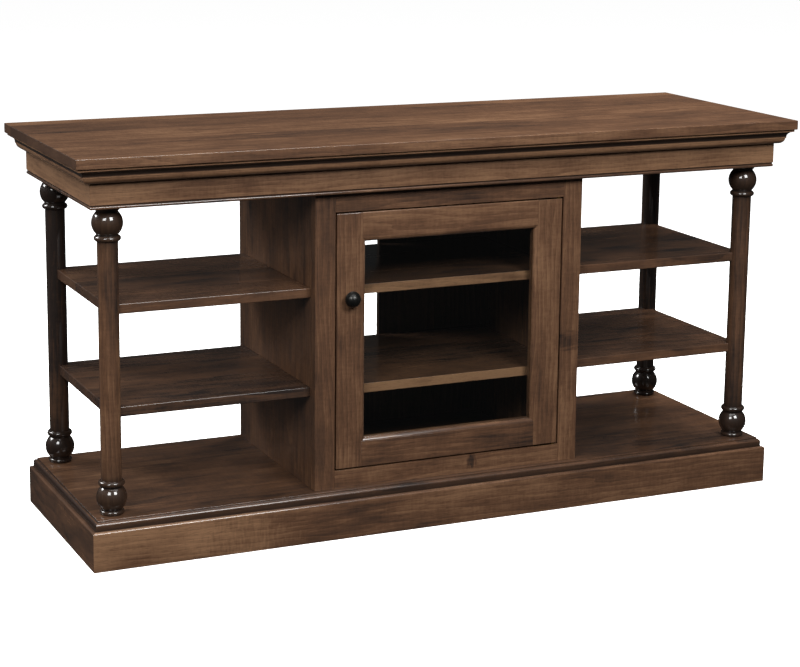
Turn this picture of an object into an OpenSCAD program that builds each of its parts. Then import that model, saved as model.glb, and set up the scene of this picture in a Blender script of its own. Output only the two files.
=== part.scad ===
// Console television cabinet: a low stained-wood console with an inset glazed door in the
// middle, two open shelves on each side, and four turned corner posts between a plinth
// and a moulded top. Millimetres, +Z up, front towards -Y, origin on the floor at the
// middle of the footprint.

/* [Overall] */
// Width of the top slab, left to right
top_w = 1524; // [1300:1:1700]
// Depth of the top slab, front to back
top_d = 516; // [480:1:600]
// Height of the whole cabinet
total_h = 776; // [740:1:860]
// Thickness of the boards: slab, deck, shelves, rails and panels
board_t = 19; // [16:0.5:22]
// Radius of the eased edges of the top slab
slab_ease = 2; // [1:0.5:4]

/* [Top frame] */
// How far the apron stands in from the edge of the slab
apron_inset = 34; // [30:1:45]
// Height of the apron boards
apron_h = 73.5; // [65:0.5:90]
// How far the top of the crown moulding stands in from the edge of the slab
crown_inset = 5; // [3:1:10]
// Thickness of the soffit panel, whose edge is the bead under the apron
soffit_t = 6; // [5:0.5:9]

/* [Base] */
// How far the plinth stands in from the edge of the slab
plinth_inset = 27; // [20:1:32]
// Height of the plinth
plinth_h = 76; // [60:1:100]
// Radius on the top outer edge of the plinth
plinth_round = 4; // [2:0.5:6]
// How far the deck board stands in from the edge of the slab
deck_inset = 34; // [33:1:45]

/* [Posts] */
// Distance of each post's axis from the edges of the slab
post_inset = 78; // [76:1:84]
// Diameter of the plain shaft of a post
post_d = 39; // [34:0.5:42]
// Diameter of the turned ball
ball_d = 58; // [52:1:62]
// Diameter of the ring between ball and shaft
ring_d = 50; // [46:1:54]
// Diameter of the collar at the end of a post
collar_d = 47; // [44:1:52]
// Diameter of the tenon at each end of a post
tenon_d = 22; // [18:1:26]

/* [Side shelves] */
// Height of the upper face of the lower side shelves
low_shelf_top = 298; // [240:1:340]
// Height of the upper face of the upper side shelves
high_shelf_top = 493; // [440:1:540]
// How far a shelf's free edges pass the axes of the posts
shelf_past_post = 3; // [0:0.5:6]

/* [Centre case] */
// Width of the centre case over its two partitions
case_w = 574; // [500:1:640]
// Distance of the face frame from the front edge of the slab
case_front = 51; // [50:1:60]
// Distance of the back of the case from the front edge of the slab
case_back = 466; // [440:1:475]
// Width of the face frame stiles
face_stile_w = 41.5; // [35:0.5:50]
// Width of the top rail of the face frame
face_top_w = 37; // [30:0.5:50]
// Width of the bottom rail of the face frame
face_bottom_w = 36; // [30:0.5:50]
// Height of the upper face of the lower inner shelf
low_inner_top = 292; // [280:1:300]
// Height of the upper face of the upper inner shelf
high_inner_top = 490; // [485:1:495]
// Distance of the inner shelves' front edge from the front edge of the slab
inner_front = 82; // [78:1:100]
// Thickness of the back panel
back_t = 12; // [9:0.5:13]
// Width of the cable slot in the back panel
slot_w = 49; // [40:1:80]

/* [Door] */
// Gap round the door inside the face frame
door_gap = 3; // [3:0.1:4]
// Thickness of the door frame
door_t = 20; // [19:0.5:22]
// Flat width of the door stiles
door_stile_w = 53.5; // [48:0.5:60]
// Flat width of the door rails
door_rail_w = 50.5; // [46:0.5:60]
// Width of the rounded moulding round the glass
sticking_w = 6.8; // [6:0.1:7]
// Thickness of the glass
glass_t = 4; // [3:0.5:4]
// Height of the knob above the floor
knob_z = 472; // [420:1:500]
// Diameter of the knob
knob_d = 32; // [25:0.5:34]

/* [Hardware] */
// Diameter of the hinge pins
pin_d = 4; // [3:0.5:5]
// Distance of the hinge pins' axis from the door's side edge and from its face
pin_in = 6; // [5.5:0.1:6]
// Length of a hinge leaf
leaf_l = 50; // [40:1:60]
// Width of a hinge leaf
leaf_w = 9; // [8:0.5:10]
// Thickness of a hinge leaf
leaf_t = 3; // [2.5:0.1:3]
// Diameter of the shelf support pins
support_d = 5; // [4:0.5:6]
// Diameter of the shelf dowels
dowel_d = 8; // [6:0.5:10]

/* [Hidden] */
$fn = 48;

// Colours: stained hardwood on show, plain softwood and metal inside
STAIN = "#8a6b55";
STAIN_DARK = "#76583f";
PLAIN_WOOD = "#b99a72";
PLYWOOD = "#6f5644";
STEEL = "#b9bbbe";
BRASS = "#b08d4a";
BRONZE = "#2c2624";
GLASS = "#9fb4b8";

// Distance between the shelf support holes in a row, set so that both inner shelves
// rest on holes of the same row
support_pitch = 33;

// The four sides of a ring of mitred boards, in turn anticlockwise seen from above
FRONT = 0;
RIGHT = 1;
BACK = 2;
LEFT = 3;
// Clearance left round pins and screws
fit = 0.05;
// Overlap of a cutting body past the face that it cuts
past = 1;

// Heights of the main levels
slab_z = total_h - board_t;
apron_z = slab_z - apron_h;
soffit_z = apron_z - soffit_t;
deck_top = plinth_h + board_t;
post_l = soffit_z - deck_top;

// Crown moulding: fillet, cove, step and ovolo, from the top down
crown_fillet = 5;
cove_r = 11.5;
crown_step_h = 2.5;
crown_step_in = 1.5;
ovolo_r = 11.5;
crown_h = crown_fillet + cove_r + crown_step_h + ovolo_r;
crown_reach = apron_inset - crown_inset;
// Quirk between the apron and the bead below it
quirk_in = 1.5;
quirk_h = 2.5;
bead_r = 2.6;
// Deck edge: a quarter round under a small upright fillet
deck_round = 5.5;
deck_fillet_h = 3.5;
deck_fillet_in = 6.2;

// Inner structure
block_in = 25;
block_h = 56;
tenon_l = 38;
cross_rail_w = 60;
cross_rail_xs = [-400, 0, 400];
cross_rail_screw_y = 120;
slab_screw_l = 32;
slab_screw_d = 4.5;

// Turned ends of a post: collar, ball and ring, measured from the end of the post
collar_h = 8.5;
groove_d = 41;
groove_h = 1.5;
ball_h = 43;
ring_h = 10.5;
ball_mid = collar_h + groove_h + ball_h / 2;
ring_start = ball_mid + ball_h / 2 + groove_h;
turned_h = ring_start + ring_h;

// Post axes
post_x = top_w / 2 - post_inset;
post_y = top_d / 2 - post_inset;

// Side shelves and their dowels
shelf_out = post_x + shelf_past_post;
shelf_y = post_y + shelf_past_post;
shelf_post_gap = 0.3;
dowel_in_post = 11;
dowel_in_shelf = 20;
dowel_in_partition = 10;
partition_dowel_ys = [-130, 0, 130];

// Centre case, in this model's own coordinates
front_y = -top_d / 2 + case_front;
back_y = -top_d / 2 + case_back;
case_x = case_w / 2;
case_inner_x = case_x - board_t;
frame_back_y = front_y + board_t;
opening_x = case_x - face_stile_w;
opening_lo = deck_top + face_bottom_w;
opening_hi = soffit_z - face_top_w;
face_tenon_l = 15;
face_tenon_t = 6;
rabbet_d = 9;
inner_shelf_gap = 1;
inner_front_y = -top_d / 2 + inner_front;
inner_back_gap = 6;
slot_lo = 225;
slot_hi = 560;
support_in = 9;
support_out = 8;
support_ys = [-140, 150];
support_count = 9;
support_low = low_inner_top - board_t - support_d / 2;
support_high = high_inner_top - board_t - support_d / 2;
back_screw_zs = [125, 255, 386, 517, 647];
back_screw_l = 25;
back_screw_d = 3.5;

// Door, in this model's own coordinates
door_w = 2 * (opening_x - door_gap);
door_lo = opening_lo + door_gap;
door_hi = opening_hi - door_gap;
door_h = door_hi - door_lo;
door_mid = (door_lo + door_hi) / 2;
light_w = door_w - 2 * door_stile_w;
light_h = door_h - 2 * door_rail_w;
sticking_step = 0.6;
sticking_depth = 8;
glass_gap = 0.5;
bead_gap = 0.1;
door_tenon_l = 12;
door_tenon_t = 6;
door_tenon_h = 34;
door_tenon_deep = 7;
knob_x = -door_w / 2 + 28;
knob_reach = 27;
knob_screw_d = 4;
knob_screw_in = 10;
knob_screw_head_d = 9;
knob_screw_head_h = 2;
pin_x = door_w / 2 - pin_in;
pin_y = front_y + pin_in;
leaf_screw_xs = [14, 30];
leaf_screw_l = 18;
leaf_screw_d = 3;
washer_d = 9;

// Magnetic catch behind the top rail of the face frame
catch_x = -170;
catch_w = 44;
catch_d = 14;
catch_up = 24;
catch_down = 20;
catch_play = 0.2;
plate_t = 1.2;
plate_w = 30;
plate_h = 16;
catch_screw_dx = 14;
catch_screw_l = 25;

// Depth of a countersunk head, which is a right-angled cone
function head_depth(d) = d / 2;

// Wood screw: head flush at z = 0, point downwards. A grown copy cuts its hole.
module screw(l, d, grow = 0) {
    r = d / 2 + grow;
    head_r = d + grow;
    rotate_extrude()
        polygon([[0, 0], [head_r, 0], [r, -head_depth(d) - grow],
            [r, d - l - grow], [0, -l - grow]]);
}

// What a quarter round of radius r takes off an edge along X. The board lies towards -Y and -Z.
module edge_cut(l, r) {
    translate([-l / 2, 0, 0]) rotate([90, 0, 90]) linear_extrude(l)
        difference() {
            translate([-r, -r]) square(r + past);
            translate([-r, -r]) circle(r);
        }
}

// The same along all four upper edges of a board whose top face is at z = 0
module rim_cut(lx, ly, r) {
    for (side = [0:3]) {
        along = side % 2 == 0 ? lx : ly;
        across = side % 2 == 0 ? ly : lx;
        rotate(side * 90) translate([0, across / 2, 0]) edge_cut(along + 2 * past, r);
    }
}

// One side of a mitred ring round a rectangle. The child is the section: x inwards, y up.
module ring_side(side, lx, ly, deep) {
    along = side % 2 == 0 ? lx : ly;
    across = side % 2 == 0 ? ly : lx;
    tall = 400;
    rotate(side * 90) translate([0, -across / 2, 0])
        intersection() {
            translate([-along / 2, 0, 0]) rotate([90, 0, 90]) linear_extrude(along) children();
            translate([0, 0, -tall / 2]) linear_extrude(tall)
                polygon([[-along / 2, 0], [along / 2, 0],
                    [along / 2 - deep, deep], [deep - along / 2, deep]]);
        }
}

// ---- Top ----

module top_slab() {
    color(STAIN) difference() {
        translate([-top_w / 2, -top_d / 2, slab_z]) cube([top_w, top_d, board_t]);
        translate([0, 0, total_h]) rim_cut(top_w, top_d, slab_ease);
        translate([0, 0, slab_z]) mirror([0, 0, 1]) rim_cut(top_w, top_d, slab_ease);
        slab_screw_places() screw(slab_screw_l, slab_screw_d, fit);
    }
}

module crown_section() {
    ovolo_in = cove_r + crown_step_in;
    difference() {
        translate([0, ovolo_r + crown_step_h]) square([crown_reach, cove_r + crown_fillet]);
        translate([0, ovolo_r + crown_step_h]) circle(cove_r);
    }
    translate([cove_r, ovolo_r]) square([crown_reach - cove_r, crown_step_h]);
    translate([ovolo_in + ovolo_r, 0]) square([crown_reach - ovolo_in - ovolo_r, ovolo_r]);
    intersection() {
        translate([ovolo_in, 0]) square(ovolo_r);
        translate([ovolo_in + ovolo_r, ovolo_r]) circle(ovolo_r);
    }
}

module crown(side) {
    color(STAIN) translate([0, 0, slab_z - crown_h])
        ring_side(side, top_w - 2 * crown_inset, top_d - 2 * crown_inset, crown_reach)
            crown_section();
}

module apron(side) {
    color(STAIN) translate([0, 0, apron_z])
        ring_side(side, top_w - 2 * apron_inset, top_d - 2 * apron_inset, board_t)
            difference() {
                square([board_t, apron_h]);
                translate([-past, -past]) square([quirk_in + past, quirk_h + past]);
            }
}

module soffit_panel() {
    lx = top_w - 2 * apron_inset;
    ly = top_d - 2 * apron_inset;
    color(STAIN_DARK) difference() {
        translate([-lx / 2, -ly / 2, soffit_z]) cube([lx, ly, soffit_t]);
        translate([0, 0, apron_z]) rim_cut(lx, ly, bead_r);
        translate([0, 0, soffit_z]) mirror([0, 0, 1]) rim_cut(lx, ly, bead_r);
        post_tenon_holes();
    }
}

// Square blocks in the corners of the apron, bored for the posts
module apron_corner_blocks() {
    color(PLAIN_WOOD) difference() {
        at_posts() translate([-block_in, -block_in, apron_z])
            cube([2 * block_in, 2 * block_in, block_h]);
        post_tenon_holes();
    }
}

// Flat rails from apron to apron, screwed up into the slab
module cross_rails() {
    rail_l = top_d - 2 * (apron_inset + board_t);
    color(PLAIN_WOOD) difference() {
        for (x = cross_rail_xs)
            translate([x - cross_rail_w / 2, -rail_l / 2, slab_z - board_t])
                cube([cross_rail_w, rail_l, board_t]);
        slab_screw_places() screw(slab_screw_l, slab_screw_d, fit);
    }
}

module slab_screw_places() {
    for (x = cross_rail_xs, y = [-cross_rail_screw_y, cross_rail_screw_y])
        translate([x, y, slab_z - board_t]) mirror([0, 0, 1]) children();
}

module slab_screws() {
    color(STEEL) slab_screw_places() screw(slab_screw_l, slab_screw_d);
}

// ---- Posts ----

module at_posts() {
    for (x = [-post_x, post_x], y = [-post_y, post_y]) translate([x, y, 0]) children();
}

// Tenon bores through the soffit, the deck and their corner blocks
module post_tenon_holes() {
    at_posts() {
        translate([0, 0, soffit_z - past])
            cylinder(h = tenon_l + 2 * past, d = tenon_d + 2 * fit);
        translate([0, 0, deck_top - tenon_l - past])
            cylinder(h = tenon_l + 2 * past, d = tenon_d + 2 * fit);
    }
}

// Half section of one turned end, from the end of the post upwards
module turned_end_section() {
    square([groove_d / 2, turned_h - ring_h / 2]);
    bulge(collar_d, 0, collar_h);
    bulge(ring_d, ring_start, ring_h);
    intersection() {
        translate([0, ball_mid]) circle(d = ball_d, $fn = 96);
        translate([0, ball_mid - ball_h / 2]) square([ball_d, ball_h]);
    }
}

// Half-round ring of height h, its lower edge at z0
module bulge(d, z0, h) {
    translate([0, z0]) square([d / 2 - h / 2, h]);
    translate([d / 2 - h / 2, z0 + h / 2]) circle(d = h);
}

module post(side_x, side_y) {
    color(STAIN) difference() {
        translate([side_x * post_x, side_y * post_y, deck_top]) rotate_extrude($fn = 64) {
            turned_end_section();
            translate([0, post_l]) mirror([0, 1]) turned_end_section();
            translate([0, turned_h / 2]) square([post_d / 2, post_l - turned_h]);
            translate([0, -tenon_l]) square([tenon_d / 2, post_l + 2 * tenon_l]);
        }
        post_dowel_places() dowel(fit);
    }
}

// ---- Side shelves ----

// Dowel along +Z, from inside the post to inside the shelf, with z = 0 on the post's surface
module dowel(grow = 0, inner = dowel_in_post) {
    translate([0, 0, -inner - grow])
        cylinder(h = inner + dowel_in_shelf + 2 * grow, d = dowel_d + 2 * grow);
}

// Dowels from the posts diagonally into the shelf corners
module post_dowel_places() {
    for (x = [-1, 1], y = [-1, 1], top = [low_shelf_top, high_shelf_top])
        translate([x * post_x, y * post_y, top - board_t / 2])
            rotate([0, 90, atan2(-y, -x)])
                translate([0, 0, post_d / 2]) children();
}

// Dowels from the partitions into the shelves' inner ends
module partition_dowel_places() {
    for (x = [-1, 1], y = partition_dowel_ys, top = [low_shelf_top, high_shelf_top])
        translate([x * case_x, y, top - board_t / 2]) rotate([0, 90 * x, 0]) children();
}

module side_shelf(side_x, top) {
    len = shelf_out - case_x;
    color(STAIN) difference() {
        translate([side_x * (case_x + len / 2) - len / 2, -shelf_y, top - board_t])
            cube([len, 2 * shelf_y, board_t]);
        at_posts() translate([0, 0, top - board_t - past])
            cylinder(h = board_t + 2 * past, d = post_d + 2 * shelf_post_gap);
        post_dowel_places() dowel(fit);
        partition_dowel_places() dowel(fit);
    }
}

module shelf_dowels() {
    color(PLAIN_WOOD) {
        post_dowel_places() dowel();
        partition_dowel_places() dowel(inner = dowel_in_partition);
    }
}

// ---- Centre case ----

module support_holes(side_x) {
    for (y = support_ys, k = [0:support_count - 1])
        translate([side_x * case_inner_x, y, support_low + (k - 1) * support_pitch])
            rotate([0, 90 * side_x, 0]) translate([0, 0, -past])
                cylinder(h = support_in + past, d = support_d + 2 * fit);
}

module partition(side_x) {
    color(STAIN) difference() {
        translate([side_x * (case_x - board_t / 2) - board_t / 2, frame_back_y, deck_top])
            cube([board_t, back_y - frame_back_y, post_l]);
        translate([side_x * (case_inner_x + rabbet_d / 2) - (rabbet_d + past) / 2 - side_x * past / 2,
                back_y - back_t, deck_top - past])
            cube([rabbet_d + past, back_t + past, post_l + 2 * past]);
        support_holes(side_x);
        partition_dowel_places() dowel(fit, dowel_in_partition);
        back_screw_places() screw(back_screw_l, back_screw_d, fit);
    }
}

module face_tenon_places() {
    for (x = [-1, 1], z = [deck_top + face_bottom_w / 2, soffit_z - face_top_w / 2])
        translate([x * opening_x, front_y + board_t / 2, z]) children();
}

// Tenon centred on a shoulder, long enough to reach into both pieces
module face_tenon() {
    cube([2 * face_tenon_l, face_tenon_t, face_bottom_w - 2 * face_tenon_t], center = true);
}

module face_stile(side_x) {
    color(STAIN) difference() {
        translate([side_x * (case_x - face_stile_w / 2) - face_stile_w / 2, front_y, deck_top])
            cube([face_stile_w, board_t, post_l]);
        face_tenon_places() face_tenon();
    }
}

module face_rail(z0, w) {
    color(STAIN) difference() {
        union() {
            translate([-opening_x, front_y, z0]) cube([2 * opening_x, board_t, w]);
            intersection() {
                face_tenon_places() face_tenon();
                translate([-case_x, front_y, z0]) cube([case_w, board_t, w]);
            }
        }
        frame_leaf_places() leaf_body();
        frame_screw_places() screw(leaf_screw_l, leaf_screw_d, fit);
        catch_screw_places() screw(catch_screw_l, leaf_screw_d, fit);
    }
}

module inner_shelf(top) {
    half = case_inner_x - inner_shelf_gap;
    color(STAIN) translate([-half, inner_front_y, top - board_t])
        cube([2 * half, back_y - back_t - inner_back_gap - inner_front_y, board_t]);
}

module shelf_pins() {
    color(STEEL) for (x = [-1, 1], y = support_ys, z = [support_low, support_high])
        translate([x * case_inner_x, y, z]) rotate([0, 90 * x, 0])
            translate([0, 0, -support_out]) cylinder(h = support_in + support_out, d = support_d);
}

// Back panel with a tall round-ended cable slot
module back_panel() {
    half = case_inner_x + rabbet_d;
    color(PLYWOOD) difference() {
        translate([-half, back_y - back_t, deck_top]) cube([2 * half, back_t, post_l]);
        translate([-slot_w / 2, back_y - back_t - past, slot_lo + slot_w / 2])
            cube([slot_w, back_t + 2 * past, slot_hi - slot_lo - slot_w]);
        for (z = [slot_lo + slot_w / 2, slot_hi - slot_w / 2])
            translate([0, back_y + past, z]) rotate([90, 0, 0])
                cylinder(h = back_t + 2 * past, d = slot_w);
        back_screw_places() screw(back_screw_l, back_screw_d, fit);
    }
}

module back_screw_places() {
    for (x = [-1, 1], z = back_screw_zs)
        translate([x * (case_inner_x + rabbet_d / 2), back_y, z]) rotate([-90, 0, 0]) children();
}

module back_screws() {
    color(STEEL) back_screw_places() screw(back_screw_l, back_screw_d);
}

// ---- Door ----

// Stands a flat door drawing up in the face frame: x across, y up, z towards the front
module stand_door() {
    translate([0, front_y, door_mid]) rotate([90, 0, 0]) children();
}

// Rounded moulding on the inner edge of a stile or rail, its back against the glass
module sticking_section() {
    mid = sticking_step + sticking_w;
    translate([0, -sticking_depth]) square([sticking_w, sticking_depth - mid]);
    intersection() {
        translate([0, -mid]) circle(sticking_w);
        translate([0, -mid]) square(sticking_w);
    }
}

module sticking(side) {
    ring_side(side, light_w, light_h, sticking_w) sticking_section();
}

module door_tenons() {
    for (x = [-1, 1], y = [-1, 1])
        translate([x * light_w / 2, y * (door_h - door_rail_w) / 2, -door_tenon_deep - door_tenon_t / 2])
            cube([2 * door_tenon_l, door_tenon_h, door_tenon_t], center = true);
}

module door_stile(side_x) {
    color(STAIN) difference() {
        stand_door() {
            difference() {
                translate([side_x * (door_w - door_stile_w) / 2 - door_stile_w / 2, -door_h / 2, -door_t])
                    cube([door_stile_w, door_h, door_t]);
                door_tenons();
            }
            sticking(side_x > 0 ? RIGHT : LEFT);
        }
        door_leaf_places() leaf_body();
        door_screw_places() screw(leaf_screw_l, leaf_screw_d, fit);
        knob_place() knob_screw_body(fit);
    }
}

module door_rail(side_z) {
    color(STAIN) difference() {
        stand_door() {
            translate([-light_w / 2, side_z * (door_h - door_rail_w) / 2 - door_rail_w / 2, -door_t])
                cube([light_w, door_rail_w, door_t]);
            intersection() {
                door_tenons();
                translate([-door_w / 2, side_z * door_h / 4 - door_h / 4, -door_t])
                    cube([door_w, door_h / 2, door_t]);
            }
            sticking(side_z > 0 ? BACK : FRONT);
        }
        plate_screw_place() screw(leaf_screw_l / 2, leaf_screw_d, fit);
    }
}

module door_glass() {
    color(GLASS, 0.4) stand_door()
        translate([glass_gap - light_w / 2, glass_gap - light_h / 2, -sticking_depth - glass_t])
            cube([light_w - 2 * glass_gap, light_h - 2 * glass_gap, glass_t]);
}

module glass_bead(side) {
    bead_d = door_t - sticking_depth - glass_t - bead_gap;
    color(STAIN) stand_door() ring_side(side, light_w, light_h, sticking_w)
        translate([0, -door_t]) square([sticking_w, bead_d]);
}

// Places a turned piece on the door's face, its axis towards the front
module knob_place() {
    translate([knob_x, front_y, knob_z]) rotate([90, 0, 0]) children();
}

// Mushroom knob: a foot, a waist and a domed head
module door_knob() {
    foot_r = 8;
    foot_h = 2;
    waist_r = 5.5;
    head_z = 9;
    rim_z = 13;
    dome_r = (pow(knob_d / 2, 2) + pow(knob_reach - rim_z, 2)) / (2 * (knob_reach - rim_z));
    color(BRONZE) knob_place() difference() {
        rotate_extrude() {
            square([foot_r, foot_h]);
            square([waist_r, head_z + past]);
            polygon([[0, head_z], [waist_r + past, head_z], [knob_d / 2, rim_z - past],
                [knob_d / 2, rim_z], [0, rim_z]]);
            intersection() {
                translate([0, knob_reach - dome_r]) circle(dome_r, $fn = 96);
                translate([0, rim_z]) square([knob_d / 2, knob_reach - rim_z]);
            }
        }
        knob_screw_body(fit);
    }
}

// Machine screw from the back of the stile into the knob
module knob_screw_body(grow = 0) {
    translate([0, 0, -door_t - grow])
        cylinder(h = door_t + knob_screw_in + 2 * grow, d = knob_screw_d + 2 * grow);
    translate([0, 0, -door_t - knob_screw_head_h])
        cylinder(h = knob_screw_head_h, d = knob_screw_head_d);
}

module knob_screw() {
    color(STEEL) knob_place() knob_screw_body();
}

// ---- Hinges and catch ----

// Hinge leaf lying under z = 0, its pin end at the origin and its length towards -X
module leaf_body() {
    translate([-leaf_l + leaf_w / 2, -leaf_w / 2, -leaf_t]) cube([leaf_l, leaf_w, leaf_t]);
}

// Leaves of the frame, let into the rails above and below the door
module frame_leaf_places() {
    translate([pin_x, pin_y, opening_hi]) mirror([0, 0, 1]) children();
    translate([pin_x, pin_y, opening_lo]) children();
}

// Leaves of the door, let into its top and bottom edges
module door_leaf_places() {
    translate([pin_x, pin_y, door_hi]) children();
    translate([pin_x, pin_y, door_lo]) mirror([0, 0, 1]) children();
}

module leaf_screws() {
    for (x = leaf_screw_xs) translate([-x, 0, 0]) children();
}

module frame_leaf(top) {
    z = top ? opening_hi : opening_lo;
    color(BRASS) translate([pin_x, pin_y, z]) mirror([0, 0, top ? 1 : 0]) difference() {
        union() {
            leaf_body();
            translate([0, 0, -leaf_t]) cylinder(h = 2 * leaf_t + door_gap - 2 * fit, d = pin_d);
        }
        leaf_screws() screw(leaf_screw_l, leaf_screw_d, fit);
    }
}

module door_leaf(top) {
    z = top ? door_hi : door_lo;
    color(BRASS) translate([pin_x, pin_y, z]) mirror([0, 0, top ? 0 : 1]) difference() {
        leaf_body();
        translate([0, 0, -leaf_t - past]) cylinder(h = leaf_t + 2 * past, d = pin_d + 2 * fit);
        leaf_screws() screw(leaf_screw_l, leaf_screw_d, fit);
    }
}

module hinge_washers() {
    color(BRASS) for (z = [door_lo - door_gap, door_hi])
        translate([pin_x, pin_y, z + fit]) difference() {
            cylinder(h = door_gap - 2 * fit, d = washer_d);
            translate([0, 0, -past]) cylinder(h = door_gap + 2 * past, d = pin_d + 2 * fit);
        }
}

module frame_screw_places() {
    frame_leaf_places() leaf_screws() children();
}

module door_screw_places() {
    door_leaf_places() leaf_screws() children();
}

module catch_screw_places() {
    for (dx = [-catch_screw_dx, catch_screw_dx])
        translate([catch_x + dx, frame_back_y + catch_d, opening_hi + catch_up / 2])
            rotate([-90, 0, 0]) children();
}

module plate_screw_place() {
    translate([catch_x, front_y + door_t + plate_t, door_hi - plate_h]) rotate([-90, 0, 0]) children();
}

module frame_screws() {
    color(BRASS) {
        frame_screw_places() screw(leaf_screw_l, leaf_screw_d);
        catch_screw_places() screw(catch_screw_l, leaf_screw_d);
    }
}

module door_screws() {
    color(BRASS) {
        door_screw_places() screw(leaf_screw_l, leaf_screw_d);
        plate_screw_place() screw(leaf_screw_l / 2, leaf_screw_d);
    }
}

// Magnet case on the back of the top rail, its lower half behind the door
module catch_body() {
    magnet_y = front_y + door_t + plate_t + catch_play;
    color(STAIN_DARK) difference() {
        union() {
            translate([catch_x - catch_w / 2, frame_back_y, opening_hi]) cube([catch_w, catch_d, catch_up]);
            translate([catch_x - catch_w / 2, magnet_y, opening_hi - catch_down])
                cube([catch_w, frame_back_y + catch_d - magnet_y, catch_down]);
        }
        catch_screw_places() screw(catch_screw_l, leaf_screw_d, fit);
    }
}

module catch_plate() {
    color(STEEL) difference() {
        translate([catch_x - plate_w / 2, front_y + door_t, door_hi - plate_h * 1.25])
            cube([plate_w, plate_t, plate_h]);
        plate_screw_place() screw(leaf_screw_l / 2, leaf_screw_d, fit);
    }
}

// ---- Base ----

module deck_board() {
    lx = top_w - 2 * deck_inset;
    ly = top_d - 2 * deck_inset;
    shoulder = board_t - deck_fillet_h;
    color(STAIN) difference() {
        union() {
            difference() {
                translate([-lx / 2, -ly / 2, plinth_h]) cube([lx, ly, shoulder]);
                translate([0, 0, plinth_h + shoulder]) rim_cut(lx, ly, deck_round);
            }
            translate([deck_fillet_in - lx / 2, deck_fillet_in - ly / 2, plinth_h])
                cube([lx - 2 * deck_fillet_in, ly - 2 * deck_fillet_in, board_t]);
        }
        post_tenon_holes();
    }
}

module plinth(side) {
    color(STAIN) ring_side(side, top_w - 2 * plinth_inset, top_d - 2 * plinth_inset, board_t)
        difference() {
            square([board_t, plinth_h]);
            difference() {
                translate([-past, plinth_h - plinth_round]) square(plinth_round + past);
                translate([plinth_round, plinth_h - plinth_round]) circle(plinth_round);
            }
        }
}

module plinth_corner_blocks() {
    half = post_inset - plinth_inset - board_t;
    color(PLAIN_WOOD) difference() {
        at_posts() translate([-half, -half, plinth_h - block_h]) cube([2 * half, 2 * half, block_h]);
        post_tenon_holes();
    }
}

top_slab();
crown(FRONT);  // crown_front
crown(RIGHT);  // crown_right
crown(BACK);  // crown_back
crown(LEFT);  // crown_left
apron(FRONT);  // apron_front
apron(RIGHT);  // apron_right
apron(BACK);  // apron_back
apron(LEFT);  // apron_left
soffit_panel();
apron_corner_blocks();
cross_rails();
slab_screws();
post(-1, -1);  // post_front_left
post(1, -1);  // post_front_right
post(-1, 1);  // post_rear_left
post(1, 1);  // post_rear_right
side_shelf(-1, low_shelf_top);  // shelf_left_lower
side_shelf(-1, high_shelf_top);  // shelf_left_upper
side_shelf(1, low_shelf_top);  // shelf_right_lower
side_shelf(1, high_shelf_top);  // shelf_right_upper
shelf_dowels();
partition(-1);  // partition_left
partition(1);  // partition_right
face_stile(-1);  // face_stile_left
face_stile(1);  // face_stile_right
face_rail(opening_hi, face_top_w);  // face_rail_top
face_rail(deck_top, face_bottom_w);  // face_rail_bottom
door_stile(-1);  // door_stile_left
door_stile(1);  // door_stile_right
door_rail(1);  // door_rail_top
door_rail(-1);  // door_rail_bottom
door_glass();
glass_bead(BACK);  // glass_bead_top
glass_bead(RIGHT);  // glass_bead_right
glass_bead(FRONT);  // glass_bead_bottom
glass_bead(LEFT);  // glass_bead_left
door_knob();
knob_screw();
frame_leaf(true);  // hinge_upper_frame_leaf
door_leaf(true);  // hinge_upper_door_leaf
frame_leaf(false);  // hinge_lower_frame_leaf
door_leaf(false);  // hinge_lower_door_leaf
hinge_washers();
frame_screws();
door_screws();
catch_body();
catch_plate();
inner_shelf(low_inner_top);  // inner_shelf_lower
inner_shelf(high_inner_top);  // inner_shelf_upper
shelf_pins();
back_panel();
back_screws();
deck_board();
plinth(FRONT);  // plinth_front
plinth(RIGHT);  // plinth_right
plinth(BACK);  // plinth_back
plinth(LEFT);  // plinth_left
plinth_corner_blocks();
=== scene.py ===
"""Console television cabinet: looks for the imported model.

The mouldings, boards, turned posts and the knob are surfaces worked out with numpy round the
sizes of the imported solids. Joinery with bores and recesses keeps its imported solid, with eased
edges. Every surface gets a procedural finish whose grain runs the way each board is cut.
"""

import logging
import math
from dataclasses import dataclass, field, replace
from enum import Enum

import bmesh
import bpy
import numpy as np
from mathutils import Matrix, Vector
from mathutils.geometry import tessellate_polygon


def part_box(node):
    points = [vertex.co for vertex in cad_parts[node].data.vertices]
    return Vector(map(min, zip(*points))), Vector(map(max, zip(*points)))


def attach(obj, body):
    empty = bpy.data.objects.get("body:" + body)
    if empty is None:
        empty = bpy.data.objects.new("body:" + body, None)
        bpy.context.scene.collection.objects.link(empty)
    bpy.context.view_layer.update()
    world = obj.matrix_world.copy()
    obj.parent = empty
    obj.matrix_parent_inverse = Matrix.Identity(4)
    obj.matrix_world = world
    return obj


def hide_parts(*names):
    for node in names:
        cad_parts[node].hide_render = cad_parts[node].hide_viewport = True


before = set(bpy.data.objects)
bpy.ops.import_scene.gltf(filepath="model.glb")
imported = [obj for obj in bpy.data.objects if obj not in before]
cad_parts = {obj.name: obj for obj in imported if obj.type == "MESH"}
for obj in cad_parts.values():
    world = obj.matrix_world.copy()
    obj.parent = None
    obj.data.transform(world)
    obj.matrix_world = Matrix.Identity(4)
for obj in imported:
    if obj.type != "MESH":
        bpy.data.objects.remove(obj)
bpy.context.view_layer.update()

LOG = logging.getLogger("cabinet")
MM = 0.001
IMAGE_WIDTH, IMAGE_HEIGHT = 800, 667
SENSOR_WIDTH = 36.0
WHITE = (1.0, 1.0, 1.0, 1.0)
# Faces that turn by more than this meet in an arris
CREASE = math.radians(35.0)
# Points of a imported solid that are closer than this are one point
WELD = 0.01 * MM


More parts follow.
